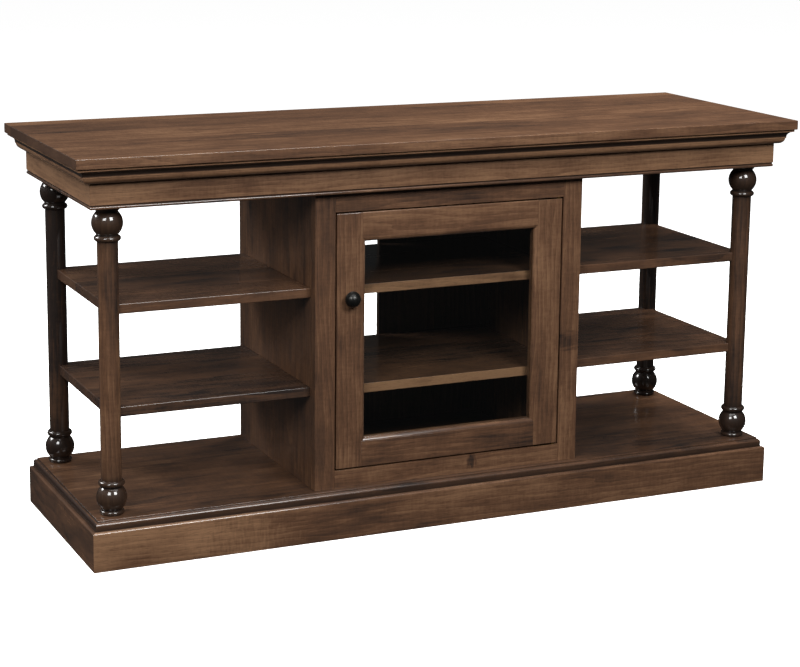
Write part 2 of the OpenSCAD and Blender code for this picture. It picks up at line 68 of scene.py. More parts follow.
# ---- Small helpers -------------------------------------------------------------------------


def linear(hex_colour: str) -> tuple[float, float, float, float]:
    """Turns an sRGB hex colour into linear light.

    Args:
        hex_colour: colour such as "#6a4c3a".

    Returns:
        Red, green, blue and an alpha of 1.
    """
    srgb = np.array([int(hex_colour[i:i + 2], 16) for i in (1, 3, 5)]) / 255.0
    value = np.where(srgb <= 0.04045, srgb / 12.92, ((srgb + 0.055) / 1.055) ** 2.4)
    return (float(value[0]), float(value[1]), float(value[2]), 1.0)


def add(tree: bpy.types.NodeTree, kind: str, inputs: dict | None = None,
        **settings: object) -> bpy.types.Node:
    """Adds a node with its settings and links.

    Args:
        tree: node tree of a material or world.
        kind: Blender's name for the node type.
        inputs: value or output socket for each input, by name or number.
        settings: properties of the node itself.

    Returns:
        The new node.
    """
    node = tree.nodes.new(kind)
    for key, value in settings.items():
        setattr(node, key, value)
    for key, value in (inputs or {}).items():
        if isinstance(value, bpy.types.NodeSocket):
            tree.links.new(value, node.inputs[key])
        else:
            node.inputs[key].default_value = value
    return node


def fresh_material(name: str) -> tuple[bpy.types.Material, bpy.types.NodeTree]:
    """Makes a material with an empty node tree.

    Args:
        name: the material's name.

    Returns:
        The material and its node tree.
    """
    made = bpy.data.materials.new(name)
    made.use_nodes = True
    made.node_tree.nodes.clear()
    return made, made.node_tree


def node_box(node: str) -> tuple[np.ndarray, np.ndarray]:
    """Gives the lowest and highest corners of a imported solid, in metres."""
    low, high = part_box(node)
    return np.array(low), np.array(high)


# ---- Surfaces ------------------------------------------------------------------------------


# A drawing's u, v and w axes, laid along the cabinet's width, height and depth towards the front
FRONT_AXES = np.array([(1, 0, 0), (0, 0, 1), (0, -1, 0)], float)


@dataclass(frozen=True)
class Shell:
    """A closed surface: points in metres, faces as lists of point numbers, and at each point a
    value that darkens it towards the glaze colour, as glaze and painted shade, or below 0 lightens
    it as painted light.
    """

    points: np.ndarray
    faces: list[list[int]]
    glaze: np.ndarray | None = None

    def fronted(self) -> "Shell":
        """Gives the same surface turned from facing up to facing the front."""
        return Shell(self.points @ FRONT_AXES, self.faces, self.glaze)

    def moved(self, offset: np.ndarray) -> "Shell":
        """Gives the same surface moved by an offset."""
        return Shell(self.points + offset, self.faces, self.glaze)

    def glazed_and_shaded(self, glaze: np.ndarray) -> "Shell":
        """Gives the same surface with glaze, painted shade and painted light at its points."""
        return Shell(self.points, self.faces, glaze)


def arc(centre: tuple[float, float], radius: float, start: float, end: float,
        count: int) -> np.ndarray:
    """Points of a circle's arc: centre plus radius times cosine and sine of each angle.

    Args:
        centre: middle of the circle.
        radius: its radius.
        start: first angle, in degrees.
        end: last angle, in degrees.
        count: number of points.

    Returns:
        Array of count points.
    """
    angle = np.radians(np.linspace(start, end, count))
    return np.array(centre) + radius * np.stack([np.cos(angle), np.sin(angle)], axis=-1)


def rectangle(low: np.ndarray, high: np.ndarray, corner: float = 0.0,
              count: int = 5) -> np.ndarray:
    """Outline of a rectangle, anticlockwise, its corners quarter circles where corner is over 0.

    Args:
        low: lowest corner.
        high: highest corner.
        corner: radius of the corners.
        count: points in each corner.

    Returns:
        Array of outline points.
    """
    if corner <= 0:
        return np.array([low, (high[0], low[1]), high, (low[0], high[1])], float)
    inner_low, inner_high = np.array(low) + corner, np.array(high) - corner
    middles = [inner_low, (inner_high[0], inner_low[1]), inner_high, (inner_low[0], inner_high[1])]
    return np.concatenate([arc(tuple(middle), corner, 180 + 90 * turn, 270 + 90 * turn, count)
                           for turn, middle in enumerate(middles)])


def eased_edge(low: float, high: float, ease: float, count: int = 4) -> np.ndarray:
    """Edge profile of a board: a quarter circle at each arris, as insets against heights.

    Args:
        low: height of the lower face.
        high: height of the upper face.
        ease: radius of both arrises.
        count: points in each quarter circle.

    Returns:
        Array of (inset, height), from the lower face to the upper one.
    """
    lower = arc((ease, low + ease), ease, -90, -180, count)
    upper = arc((ease, high - ease), ease, 180, 90, count)
    return np.concatenate([lower, upper])


BORE_POINTS = 32


def plate(outline: np.ndarray, edge: np.ndarray,
          bores: list[tuple[float, float, float]] | None = None) -> Shell:
    """A board whose edge profile is carried round its outline.

    At each height of the profile, every outline point moves inwards by the inset along its
    mitre: the sum of its two neighbouring inward normals, over one plus their dot product.

    Args:
        outline: anticlockwise plan outline.
        edge: (inset, height) pairs from the lower face to the upper one.
        bores: centre and radius of each round hole through the board.

    Returns:
        The closed surface.
    """
    tangent = np.roll(outline, -1, axis=0) - outline
    tangent /= np.linalg.norm(tangent, axis=1, keepdims=True)
    after = np.stack([-tangent[:, 1], tangent[:, 0]], axis=-1)
    before = np.roll(after, 1, axis=0)
    mitre = (before + after) / (1 + np.sum(before * after, axis=1, keepdims=True))
    levels, around = len(edge), len(outline)
    plan = outline[None] + edge[:, 0, None, None] * mitre[None]
    height = np.broadcast_to(edge[:, 1, None, None], (levels, around, 1))
    points = np.concatenate([plan, height], axis=-1).reshape(-1, 3)
    faces = grid_faces(levels, around)
    rings = [plan[0]], [plan[-1]]
    index = [[np.arange(around)], [np.arange(around) + (levels - 1) * around]]
    for x, y, radius in bores or []:
        ring = arc((x, y), radius, 0, 360, BORE_POINTS + 1)[:-1]
        first = len(points)
        for end in (0, 1):
            level = np.full((len(ring), 1), edge[-end, 1])
            index[end].append(len(points) + np.arange(len(ring)))
            rings[end].append(ring)
            points = np.concatenate([points, np.concatenate([ring, level], axis=1)])
        faces += [face[::-1] for face in (np.array(grid_faces(2, len(ring))) + first).tolist()]
    for end, upwards in ((0, False), (1, True)):
        faces += cap_faces(rings[end], np.concatenate(index[end]), upwards)
    return Shell(points, faces)


def grid_faces(levels: int, around: int) -> list[list[int]]:
    """Four-sided faces of a grid of points that closes on itself round each level.

    Args:
        levels: number of levels.
        around: points in each level.

    Returns:
        Point numbers of each face, turned outwards for anticlockwise levels going up.
    """
    level, step = np.meshgrid(np.arange(levels - 1), np.arange(around), indexing="ij")
    here, right = level * around + step, level * around + (step + 1) % around
    return np.stack([here, right, right + around, here + around], -1).reshape(-1, 4).tolist()


def cap_faces(rings: list[np.ndarray], index: np.ndarray, upwards: bool) -> list[list[int]]:
    """Faces that close one end of a plate, round its bores.

    Args:
        rings: the outline and then each bore's circle, in the plane.
        index: point number of every ring point.
        upwards: whether the faces look up.

    Returns:
        One many-sided face, or triangles where there are bores.
    """
    if len(rings) == 1:
        whole = index.tolist()
        return [whole if upwards else whole[::-1]]
    flat = np.concatenate(rings)
    corners = np.array(tessellate_polygon([[(*p, 0.0) for p in ring] for ring in rings]))
    one, two, three = (flat[corners[:, k]] for k in range(3))
    area = np.cross(two - one, three - one)
    wrong = (area < 0) == upwards
    corners[wrong] = corners[wrong][:, ::-1]
    return index[corners].tolist()


class Grain(Enum):
    """Way that a board's fibres run; the value turns that axis to the pattern's X axis."""

    ALONG_X = (0.0, 0.0, 0.0)
    ALONG_Y = (0.0, 0.0, -math.pi / 2)
    ALONG_Z = (0.0, math.pi / 2, 0.0)


class Side(Enum):
    """Sides of a mitred ring; the value is the number of quarter turns from the front."""

    FRONT = 0
    RIGHT = 1
    BACK = 2
    LEFT = 3

    def grain(self) -> Grain:
        """Gives the way that the fibres of this side's board run."""
        return Grain.ALONG_Y if self.value % 2 else Grain.ALONG_X


def mitred_side(section: np.ndarray, half: tuple[float, float], side: Side) -> Shell:
    """One board of a mitred ring: a section carried along one side of a rectangle.

    Each section point runs between the two corners of the rectangle drawn in by its inset, so
    both ends are cut at 45 degrees.

    Args:
        section: anticlockwise closed section, as (inset, height).
        half: half the rectangle's length along X and along Y.
        side: the side that the board runs along.

    Returns:
        The closed surface.
    """
    along, across = half if side.value % 2 == 0 else half[::-1]
    inset, height = section[:, 0], section[:, 1]
    ends = [np.stack([way * (along - inset), inset - across, height], axis=-1) for way in (-1, 1)]
    turn = np.array([[0, 1, 0], [-1, 0, 0], [0, 0, 1]])
    points = np.concatenate(ends) @ np.linalg.matrix_power(turn, side.value)
    count = len(section)
    here = np.arange(count)
    after = (here + 1) % count
    faces = np.stack([here, after, after + count, here + count], axis=-1).tolist()
    faces += [here[::-1].tolist(), (here + count).tolist()]
    return Shell(points, faces)


def turned(profile: np.ndarray, segments: int) -> Shell:
    """A lathe-turned surface: each profile point's radius swept round the w axis.

    Args:
        profile: (radius, height) pairs from the lower end to the upper one.
        segments: points round the axis.

    Returns:
        The closed surface.
    """
    angle = np.linspace(0, 2 * np.pi, segments, endpoint=False)
    radius, height = profile[:, 0, None], profile[:, 1, None]
    points = np.stack([radius * np.cos(angle), radius * np.sin(angle),
                       np.broadcast_to(height, (len(profile), segments))], axis=-1)
    faces = grid_faces(len(profile), segments)
    last = (len(profile) - 1) * segments
    faces += [list(range(segments))[::-1], list(range(last, last + segments))]
    return Shell(points.reshape(-1, 3), faces)


# ---- Finishes ------------------------------------------------------------------------------


@dataclass(frozen=True)
class Mark:
    """A knot or a patch in the figure.

    Attributes:
        place: its middle, in metres.
        along: its reach along the fibres, in metres.
        across: its reach across the fibres, in metres.
        depth: how dark it is, or below 0 how light.
    """

    place: tuple[float, float, float]
    along: float
    across: float
    depth: float


@dataclass(frozen=True)
class Board:
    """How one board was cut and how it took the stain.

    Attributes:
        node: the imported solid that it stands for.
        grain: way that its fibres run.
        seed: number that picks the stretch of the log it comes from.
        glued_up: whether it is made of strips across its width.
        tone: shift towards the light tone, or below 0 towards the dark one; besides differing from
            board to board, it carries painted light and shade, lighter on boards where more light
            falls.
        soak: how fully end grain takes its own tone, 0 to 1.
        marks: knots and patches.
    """

    node: str
    grain: Grain
    seed: int
    glued_up: bool = False
    tone: float = 0.0
    soak: float = 0.45
    marks: tuple[Mark, ...] = ()

    def turn(self) -> np.ndarray:
        """Gives the rotation that brings the fibres onto the pattern's X axis."""
        _, about_y, about_z = self.grain.value
        return np.array(Matrix.Rotation(about_z, 3, "Z") @ Matrix.Rotation(about_y, 3, "Y"))

    def fibre_axis(self) -> np.ndarray:
        """Gives the direction that the fibres run in on the cabinet."""
        return np.linalg.inv(self.turn()) @ (1.0, 0.0, 0.0)

    def stretch(self, heart: np.ndarray) -> tuple[float, float, float]:
        """Gives the offset that puts the board's middle at a place in the log."""
        low, high = node_box(self.node)
        return tuple(heart - self.turn() @ ((low + high) / 2))


# Share that each finer layer of a cloudy pattern keeps of the one before
FINE_SHARE = 0.58
# Most that a log's heart leans, in radians, and how far from the heart boards are cut, in metres
HEART_LEAN = 0.022
HEART_REACH = ((-3.0, 3.0), (-0.05, 0.05), (0.05, 0.12))
# Furthest that each strip of a glued-up board lies from the next one in the log, in metres
STRIP_SLIDE = (2.0, 0.05, 0.08)
# A wave texture turns by 20 radians for each unit of scaled distance
WAVE_TURN = 20.0


def cloud(tree: bpy.types.NodeTree, place: bpy.types.NodeSocket, size: float, along: float,
          detail: float, across: float = 1.0) -> bpy.types.Node:
    """Adds a cloudy pattern that is drawn out along the fibres.

    Args:
        tree: node tree of the material.
        place: place in the log.
        size: size of the patches, in millimetres.
        along: size over the patches' length along the fibres.
        detail: number of finer layers.
        across: size over the patches' width across the fibres.

    Returns:
        The noise node.
    """
    drawn = add(tree, "ShaderNodeVectorMath", {0: place, 1: (along, across, across)},
                operation="MULTIPLY").outputs[0]
    return add(tree, "ShaderNodeTexNoise", {
        "Vector": drawn, "Scale": 1 / (size * MM), "Detail": detail, "Roughness": FINE_SHARE})


@dataclass(frozen=True)
class Wood:
    """Wood with growth rings, fibres, curl and uneven stain, under a lacquer coat or left bare.

    Attributes:
        name: common name of the wood and its finish.
        dark: tone of the patches that took most stain.
        middle: the main tone.
        light: tone of the patches that took least stain.
        end_grain: tone of end grain, which soaks stain up.
        glaze: tone of the stain that gathers round turned work, also used as painted shade in
            hollows, creases and under mouldings.
        ring_spacing: distance between growth rings, in millimetres.
        ring_strength: how strongly the rings show, 0 to 1.
        fibre_width: width of the fibre streaks, in millimetres, as coarse as they need to show.
        fibre_strength: how strongly the streaks show, 0 to 1.
        curl_width: width of the ripples that cross the fibres, in millimetres.
        curl_strength: how strongly the ripples show, 0 to 1.
        mottle_size: width of the cloudy patches where the stain took unevenly, in millimetres.
        mottle_strength: how strongly the patches show, 0 to 1.
        mineral_width: width of the long mineral streaks, in millimetres.
        mineral_strength: how dark they are, 0 to 1.
        pore_width: width of the short flecks of the pores, in millimetres.
        pore_strength: how dark the flecks are, 0 to 1.
        strip_width: width of the strips that a wide board is glued up from, in millimetres.
        strip_strength: how much one strip's tone differs from the next.
        fibre_depth: height of the fibres, in millimetres.
        roughness: roughness of the wood under the coat.
        bare_gloss: specular level of the wood under the coat, where 0.5 is full gloss.
        coat: weight of the lacquer coat.
        coat_roughness: roughness of the lacquer coat.
        ior: refractive index of lacquer.
    """

    name: str
    dark: str
    middle: str
    light: str
    end_grain: str
    glaze: str = "#18110d"
    ring_spacing: float = 11.0
    ring_strength: float = 0.14
    fibre_width: float = 2.4
    fibre_strength: float = 0.42
    curl_width: float = 5.0
    curl_strength: float = 0.13
    mottle_size: float = 44.0
    mottle_strength: float = 0.62
    mineral_width: float = 52.0
    mineral_strength: float = 0.32
    pore_width: float = 2.0
    pore_strength: float = 0.22
    strip_width: float = 128.0
    strip_strength: float = 0.2
    fibre_depth: float = 0.1
    roughness: float = 0.5
    bare_gloss: float = 0.12
    coat: float = 0.85
    coat_roughness: float = 0.15
    ior: float = 1.5

    def material(self, board: Board) -> bpy.types.Material:
        """Makes the material of one board.

        Args:
            board: how it was cut and how it took the stain.

        Returns:
            The material.
        """
        made, tree = fresh_material(f"{self.name}, {board.node.replace('_', ' ')}")
        pick = np.random.default_rng(board.seed)
        lean = tuple(pick.uniform(-HEART_LEAN, HEART_LEAN, 3))
        heart = np.array([pick.uniform(*reach) for reach in HEART_REACH])
        where = add(tree, "ShaderNodeTexCoord")
        place = add(tree, "ShaderNodeMapping", {
            0: where.outputs["Object"], "Rotation": board.grain.value,
            "Location": board.stretch(heart)}).outputs[0]
        place, tone = self.strips(tree, place, board)
        fibres = cloud(tree, place, self.fibre_width, 0.045, 5).outputs["Fac"]
        curl = cloud(tree, place, self.curl_width, 1.0, 1, 0.22).outputs["Fac"]
        mottle = cloud(tree, place, self.mottle_size, 0.38, 4).outputs["Fac"]
        drift = cloud(tree, place, self.mottle_size * 5, 0.4, 1).outputs["Fac"]
        parts = ((self.rings(tree, place, lean), self.ring_strength),
                 (fibres, self.fibre_strength), (curl, self.curl_strength),
                 (mottle, self.mottle_strength), (drift, self.mottle_strength * 0.9))
        for part, strength in parts:
            level = add(tree, "ShaderNodeMath", {0: part, 1: 0.5}, operation="SUBTRACT").outputs[0]
            tone = add(tree, "ShaderNodeMath", {0: level, 1: strength, 2: tone},
                       operation="MULTIPLY_ADD").outputs[0]
        # Painted light: where the value is below 0, the wood is painted lighter, as a painted
        # highlight on an edge that catches the light
        glaze = add(tree, "ShaderNodeAttribute", attribute_name="glaze").outputs["Fac"]
        painted_light = add(tree, "ShaderNodeMath", {0: glaze, 1: 0.0}, operation="MINIMUM").outputs[0]
        shades = [painted_light, self.streaks(tree, place)]
        shades += [self.mark_shade(tree, mark, board.fibre_axis(), where.outputs["Object"], curl)
                   for mark in board.marks]
        for shade in shades:
            tone = add(tree, "ShaderNodeMath", {0: tone, 1: shade}, operation="SUBTRACT").outputs[0]
        face = self.face(tree, tone, place)
        colour = self.end_grained(tree, face, where.outputs["Normal"], board)
        # Painted shade: a value above 0 darkens towards the glaze colour, as painted shade in
        # hollows and under mouldings, and as the real stain round turned work
        glaze_and_shade_share = add(tree, "ShaderNodeClamp", {0: glaze}).outputs[0]
        colour = add(tree, "ShaderNodeMixRGB", {
            0: glaze_and_shade_share, 1: colour, 2: linear(self.glaze)}).outputs[0]
        rough = add(tree, "ShaderNodeMapRange", {
            "Value": mottle, "From Min": 0.25, "From Max": 0.75,
            "To Min": self.roughness - 0.05, "To Max": self.roughness + 0.06}).outputs[0]
        bump = add(tree, "ShaderNodeBump", {
            "Height": fibres, "Strength": 0.2, "Distance": self.fibre_depth * MM}).outputs[0]
        shader = add(tree, "ShaderNodeBsdfPrincipled", {
            "Base Color": colour, "Roughness": rough, "Normal": bump, "IOR": self.ior,
            "Specular IOR Level": self.bare_gloss, "Coat Weight": self.coat,
            "Coat Roughness": self.coat_roughness, "Coat IOR": self.ior})
        add(tree, "ShaderNodeOutputMaterial", {"Surface": shader.outputs[0]})
        return made

    def strips(self, tree: bpy.types.NodeTree, place: bpy.types.NodeSocket,
               board: Board) -> tuple[bpy.types.NodeSocket, float | bpy.types.NodeSocket]:
        """Cuts each strip of a glued-up board from its own place in the log.

        Args:
            tree: node tree of the material.
            place: place in the log.
            board: how the board was cut.

        Returns:
            The place in the log, moved by chance for each strip, and the tone to start from.
        """
        usual = 0.5 + board.tone
        if not board.glued_up:
            return place, usual
        across = add(tree, "ShaderNodeSeparateXYZ", {0: place}).outputs["Y"]
        strip = add(tree, "ShaderNodeMath", {0: across, 1: self.strip_width * MM},
                    operation="DIVIDE").outputs[0]
        number = add(tree, "ShaderNodeMath", {0: strip}, operation="FLOOR").outputs[0]
        chance = add(tree, "ShaderNodeTexWhiteNoise", {"W": number}, noise_dimensions="1D")
        slide = add(tree, "ShaderNodeVectorMath", {0: chance.outputs["Color"], 1: STRIP_SLIDE},
                    operation="MULTIPLY").outputs[0]
        place = add(tree, "ShaderNodeVectorMath", {0: place, 1: slide},
                    operation="ADD").outputs[0]
        tone = add(tree, "ShaderNodeMath", {
            0: chance.outputs["Value"], 1: self.strip_strength,
            2: usual - self.strip_strength / 2}, operation="MULTIPLY_ADD").outputs[0]
        return place, tone

    def rings(self, tree: bpy.types.NodeTree, place: bpy.types.NodeSocket,
              lean: tuple[float, ...]) -> bpy.types.NodeSocket:
        """Adds growth rings round the log's heart, which leans so that they rise as arches.

        Args:
            tree: node tree of the material.
            place: place in the log.
            lean: the heart's lean about each axis, in radians.

        Returns:
            How far the place is through its ring, 0 to 1.
        """
        leaning = add(tree, "ShaderNodeVectorRotate", {
            "Vector": place, "Rotation": lean}, rotation_type="EULER_XYZ").outputs[0]
        # The rings wander by a few millimetres along the log
        wander = add(tree, "ShaderNodeVectorMath", {
            0: cloud(tree, leaning, 60, 0.12, 2).outputs["Color"], 1: (0.5, 0.5, 0.5)},
            operation="SUBTRACT").outputs[0]
        drawn = add(tree, "ShaderNodeVectorMath", {0: leaning, 1: (0.35, 1.0, 1.0)},
                    operation="MULTIPLY").outputs[0]
        bent = add(tree, "ShaderNodeVectorMath", {0: wander, 1: (0.0, 0.055, 0.055), 2: drawn},
                   operation="MULTIPLY_ADD").outputs[0]
        return add(tree, "ShaderNodeTexWave", {
            "Vector": bent, "Scale": 2 * math.pi / (WAVE_TURN * self.ring_spacing * MM),
            "Distortion": 1.2, "Detail": 2.0, "Detail Scale": 0.6},
            wave_type="RINGS", rings_direction="X", wave_profile="SAW").outputs["Fac"]

    def streaks(self, tree: bpy.types.NodeTree,
                place: bpy.types.NodeSocket) -> bpy.types.NodeSocket:
        """Adds mineral streaks, which are sparse, long and dark.

        Args:
            tree: node tree of the material.
            place: place in the log.

        Returns:
            How much darker they make the wood.
        """
        mineral = cloud(tree, place, self.mineral_width, 0.16, 3).outputs["Fac"]
        return add(tree, "ShaderNodeMapRange", {
            "Value": mineral, "From Min": 0.56, "From Max": 0.8, "To Min": 0.0,
            "To Max": self.mineral_strength}, interpolation_type="SMOOTHSTEP").outputs[0]

    def mark_shade(self, tree: bpy.types.NodeTree, mark: Mark, fibre_axis: np.ndarray,
                   place: bpy.types.NodeSocket,
                   curl: bpy.types.NodeSocket) -> bpy.types.NodeSocket:
        """Adds a mark: a soft ellipse along the fibres, with a rim made uneven by the curl.

        Args:
            tree: node tree of the material.
            mark: the knot or patch.
            fibre_axis: direction that the fibres run in.
            place: place on the cabinet.
            curl: pattern that makes the rim uneven.

        Returns:
            How much darker it makes the wood.
        """
        size = 1 / (mark.across + np.abs(fibre_axis) * (mark.along - mark.across))
        offset = add(tree, "ShaderNodeVectorMath", {0: place, 1: mark.place},
                     operation="SUBTRACT").outputs[0]
        offset = add(tree, "ShaderNodeVectorMath", {0: offset, 1: tuple(size)},
                     operation="MULTIPLY").outputs[0]
        reach = add(tree, "ShaderNodeVectorMath", {0: offset},
                    operation="LENGTH").outputs["Value"]
        uneven = add(tree, "ShaderNodeMath", {0: curl, 1: 1.6, 2: reach},
                     operation="MULTIPLY_ADD").outputs[0]
        return add(tree, "ShaderNodeMapRange", {
            "Value": uneven, "From Min": 1.1, "From Max": 2.0, "To Min": mark.depth,
            "To Max": 0.0}, interpolation_type="SMOOTHSTEP").outputs[0]

    def face(self, tree: bpy.types.NodeTree, tone: bpy.types.NodeSocket,
             place: bpy.types.NodeSocket) -> bpy.types.NodeSocket:
        """Adds the colour along the fibres: the stain's tone, flecked with pores.

        Args:
            tree: node tree of the material.
            tone: 0 where the wood is darkest, 1 where it is lightest.
            place: place in the log.

        Returns:
            The colour.
        """
        ramp = add(tree, "ShaderNodeValToRGB", {0: tone})
        stops = ramp.color_ramp.elements
        stops[0].position, stops[0].color = 0.12, linear(self.dark)
        stops[1].position, stops[1].color = 0.88, linear(self.light)
        stops.new(0.5).color = linear(self.middle)
        # The pores are drawn wider than the real 0.2 mm so that they show
        flecks = cloud(tree, place, self.pore_width, 0.14, 2).outputs["Fac"]
        pore = add(tree, "ShaderNodeMapRange", {
            "Value": flecks, "From Min": 0.34, "From Max": 0.47,
            "To Min": 1 - self.pore_strength, "To Max": 1.0}).outputs[0]
        return add(tree, "ShaderNodeVectorMath", {0: ramp.outputs["Color"], "Scale": pore},
                   operation="SCALE").outputs[0]

    def end_grained(self, tree: bpy.types.NodeTree, face: bpy.types.NodeSocket,
                    normal: bpy.types.NodeSocket, board: Board) -> bpy.types.NodeSocket:
        """Adds end grain where the surface cuts across the fibres.

        Args:
            tree: node tree of the material.
            face: colour along the fibres.
            normal: way that the surface faces.
            board: how the board was cut and how far its end grain soaks.

        Returns:
            The colour.
        """
        cut = add(tree, "ShaderNodeVectorMath", {0: normal, 1: tuple(board.fibre_axis())},
                  operation="DOT_PRODUCT").outputs["Value"]
        cut = add(tree, "ShaderNodeMath", {0: cut}, operation="ABSOLUTE").outputs[0]
        soaked = add(tree, "ShaderNodeMapRange", {
            "Value": cut, "From Min": 0.1, "From Max": 0.6, "To Max": board.soak},
            interpolation_type="SMOOTHSTEP").outputs[0]
        return add(tree, "ShaderNodeMixRGB", {
            0: soaked, 1: face, 2: linear(self.end_grain)}).outputs[0]


# Brown-stained maple under gloss lacquer: soft close grain, cloudy where the stain took, with
# nearly black end grain and sharp highlights on every eased edge
STAINED_MAPLE = Wood("stained maple", dark="#211a17", middle="#503828", light="#785a42",
                     end_grain="#261a14")
# The slab's boards were picked for an even figure, with few streaks
EVEN_MAPLE = replace(STAINED_MAPLE, name="even stained maple", mottle_strength=0.4,
                     mineral_strength=0.2, coat=0.7, coat_roughness=0.2)
# Mouldings and plinth carry a thicker coat, which draws a bright line along each arris
MOULDED_MAPLE = replace(STAINED_MAPLE, name="stained maple moulding", coat=1.0,
                        coat_roughness=0.1)
# The turned posts were buffed on the lathe, so their highlights are sharper still
TURNED_MAPLE = replace(STAINED_MAPLE, name="stained turned maple", coat=1.0, coat_roughness=0.06)
# Stained plywood behind: the same stain on a flat veneer, with less lacquer
STAINED_PLYWOOD = Wood("stained plywood", dark="#1d140e", middle="#34241a", light="#483527",
                       end_grain="#1d140e", ring_spacing=14, ring_strength=0.2, coat=0.15,
                       roughness=0.55)
# Bare pine blocks and dowels inside: pale, with wide soft rings and no lacquer
BARE_PINE = Wood("bare pine", dark="#a57c4e", middle="#c9a473", light="#dcbd91",
                 end_grain="#b98f5c", ring_spacing=5, ring_strength=0.4, mottle_strength=0.2,
                 mineral_strength=0.0, coat=0.0, roughness=0.7)


@dataclass(frozen=True)
class Metal:
    """Metal hardware with a faint patina and fine scratches.

    Attributes:
        name: common name of the metal and its finish.
        colour: its colour.
        worn: colour where the finish has dulled or rubbed.
        metallic: 1 for bare metal, lower for a painted or blackened one.
        roughness: its roughness.
        scratch: width of the fine scratches, in millimetres.
    """

    name: str
    colour: str
    worn: str
    metallic: float = 1.0
    roughness: float = 0.3
    scratch: float = 0.5

    def material(self) -> bpy.types.Material:
        """Makes the material.

        Returns:
            The material.
        """
        made, tree = fresh_material(self.name)
        place = add(tree, "ShaderNodeTexCoord").outputs["Object"]
        patches = add(tree, "ShaderNodeTexNoise", {
            "Vector": place, "Scale": 1 / (6 * MM), "Detail": 4.0, "Roughness": 0.6}).outputs[0]
        drawn = add(tree, "ShaderNodeVectorMath", {0: place, 1: (0.15, 1.0, 1.0)},
                    operation="MULTIPLY").outputs[0]
        lines = add(tree, "ShaderNodeTexNoise", {
            "Vector": drawn, "Scale": 1 / (self.scratch * MM), "Detail": 2.0}).outputs[0]
        share = add(tree, "ShaderNodeMapRange", {
            "Value": patches, "From Min": 0.42, "From Max": 0.72}).outputs[0]
        colour = add(tree, "ShaderNodeMixRGB", {
            0: share, 1: linear(self.colour), 2: linear(self.worn)}).outputs[0]
        rough = add(tree, "ShaderNodeMapRange", {
            "Value": lines, "From Min": 0.3, "From Max": 0.7, "To Min": self.roughness - 0.06,
            "To Max": self.roughness + 0.1}).outputs[0]
        bump = add(tree, "ShaderNodeBump", {
            "Height": lines, "Strength": 0.15, "Distance": 0.05 * MM}).outputs[0]
        shader = add(tree, "ShaderNodeBsdfPrincipled", {
            "Base Color": colour, "Metallic": self.metallic,
            "Roughness": rough, "Normal": bump})
        add(tree, "ShaderNodeOutputMaterial", {"Surface": shader.outputs[0]})
        return made


# Oil-rubbed bronze knob: nearly black, with a soft bright highlight
OILED_BRONZE = Metal("oil-rubbed bronze", "#1f1f1e", "#2b2a28", metallic=0.75, roughness=0.3)
# Antique brass hinges and wood screws: dark yellow-brown, dulled
HINGE_BRASS = Metal("antique brass", "#6f5a34", "#4c3d25", roughness=0.38)
# Zinc-plated steel screws, pins and plate: pale grey with a cloudy plating
ZINC_STEEL = Metal("zinc-plated steel", "#b4b7ba", "#8f9499", roughness=0.34)


@dataclass(frozen=True)
class FloatGlass:
    """Clear float glass: a flat pane that shows what is behind it and mirrors a little of the room.

    A 4 mm pane moves what is behind it by about a millimetre, so light goes straight through,
    and each face mirrors the share that soda-lime glass does at that angle.

    Attributes:
        tint: colour of the light that passes.
        ior: refractive index of soda-lime glass.
    """

    tint: str = "#fcfdfc"
    ior: float = 1.52

    def material(self) -> bpy.types.Material:
        """Makes the material.

        Returns:
            The material.
        """
        made, tree = fresh_material("clear float glass")
        place = add(tree, "ShaderNodeTexCoord").outputs["Object"]
        # Wiped smears, a few centimetres across, that only dull the reflection a little
        smear = add(tree, "ShaderNodeTexNoise", {
            "Vector": place, "Scale": 1 / (45 * MM), "Detail": 3.0}).outputs[0]
        rough = add(tree, "ShaderNodeMapRange", {
            "Value": smear, "From Min": 0.4, "From Max": 0.8, "To Min": 0.01,
            "To Max": 0.06}).outputs[0]
        # The inner side of each face would count as glass to air, so its index is turned over
        inside = add(tree, "ShaderNodeNewGeometry").outputs["Backfacing"]
        index = add(tree, "ShaderNodeMapRange", {
            "Value": inside, "To Min": self.ior, "To Max": 1 / self.ior}).outputs[0]
        share = add(tree, "ShaderNodeFresnel", {"IOR": index}).outputs[0]
        clear = add(tree, "ShaderNodeBsdfTransparent", {"Color": linear(self.tint)}).outputs[0]
        mirror = add(tree, "ShaderNodeBsdfGlossy", {
            "Color": WHITE, "Roughness": rough}).outputs[0]
        pane = add(tree, "ShaderNodeMixShader", {0: share, 1: clear, 2: mirror}).outputs[0]
        add(tree, "ShaderNodeOutputMaterial", {"Surface": pane})
        return made


@dataclass(frozen=True)
class MouldedPlastic:
    """Injection-moulded plastic with the fine dull texture of its mould.

    Attributes:
        colour: its colour.
        grit: size of the mould's texture, in millimetres.
    """

    colour: str = "#3a2b22"
    grit: float = 0.7

    def material(self) -> bpy.types.Material:
        """Makes the material.

        Returns:
            The material.
        """
        made, tree = fresh_material("moulded brown plastic")
        place = add(tree, "ShaderNodeTexCoord").outputs["Object"]
        grit = add(tree, "ShaderNodeTexNoise", {
            "Vector": place, "Scale": 1 / (self.grit * MM), "Detail": 2.0}).outputs[0]
        rough = add(tree, "ShaderNodeMapRange", {
            "Value": grit, "To Min": 0.4, "To Max": 0.55}).outputs[0]
        bump = add(tree, "ShaderNodeBump", {
            "Height": grit, "Strength": 0.3, "Distance": 0.05 * MM}).outputs[0]
        shader = add(tree, "ShaderNodeBsdfPrincipled", {
            "Base Color": linear(self.colour), "Roughness": rough, "Normal": bump, "IOR": 1.5})
        add(tree, "ShaderNodeOutputMaterial", {"Surface": shader.outputs[0]})
        return made


# ---- Making pieces -------------------------------------------------------------------------


class Body(Enum):
    """The two bodies that pieces ride on."""

    CABINET = "cabinet"
    DOOR = "door"


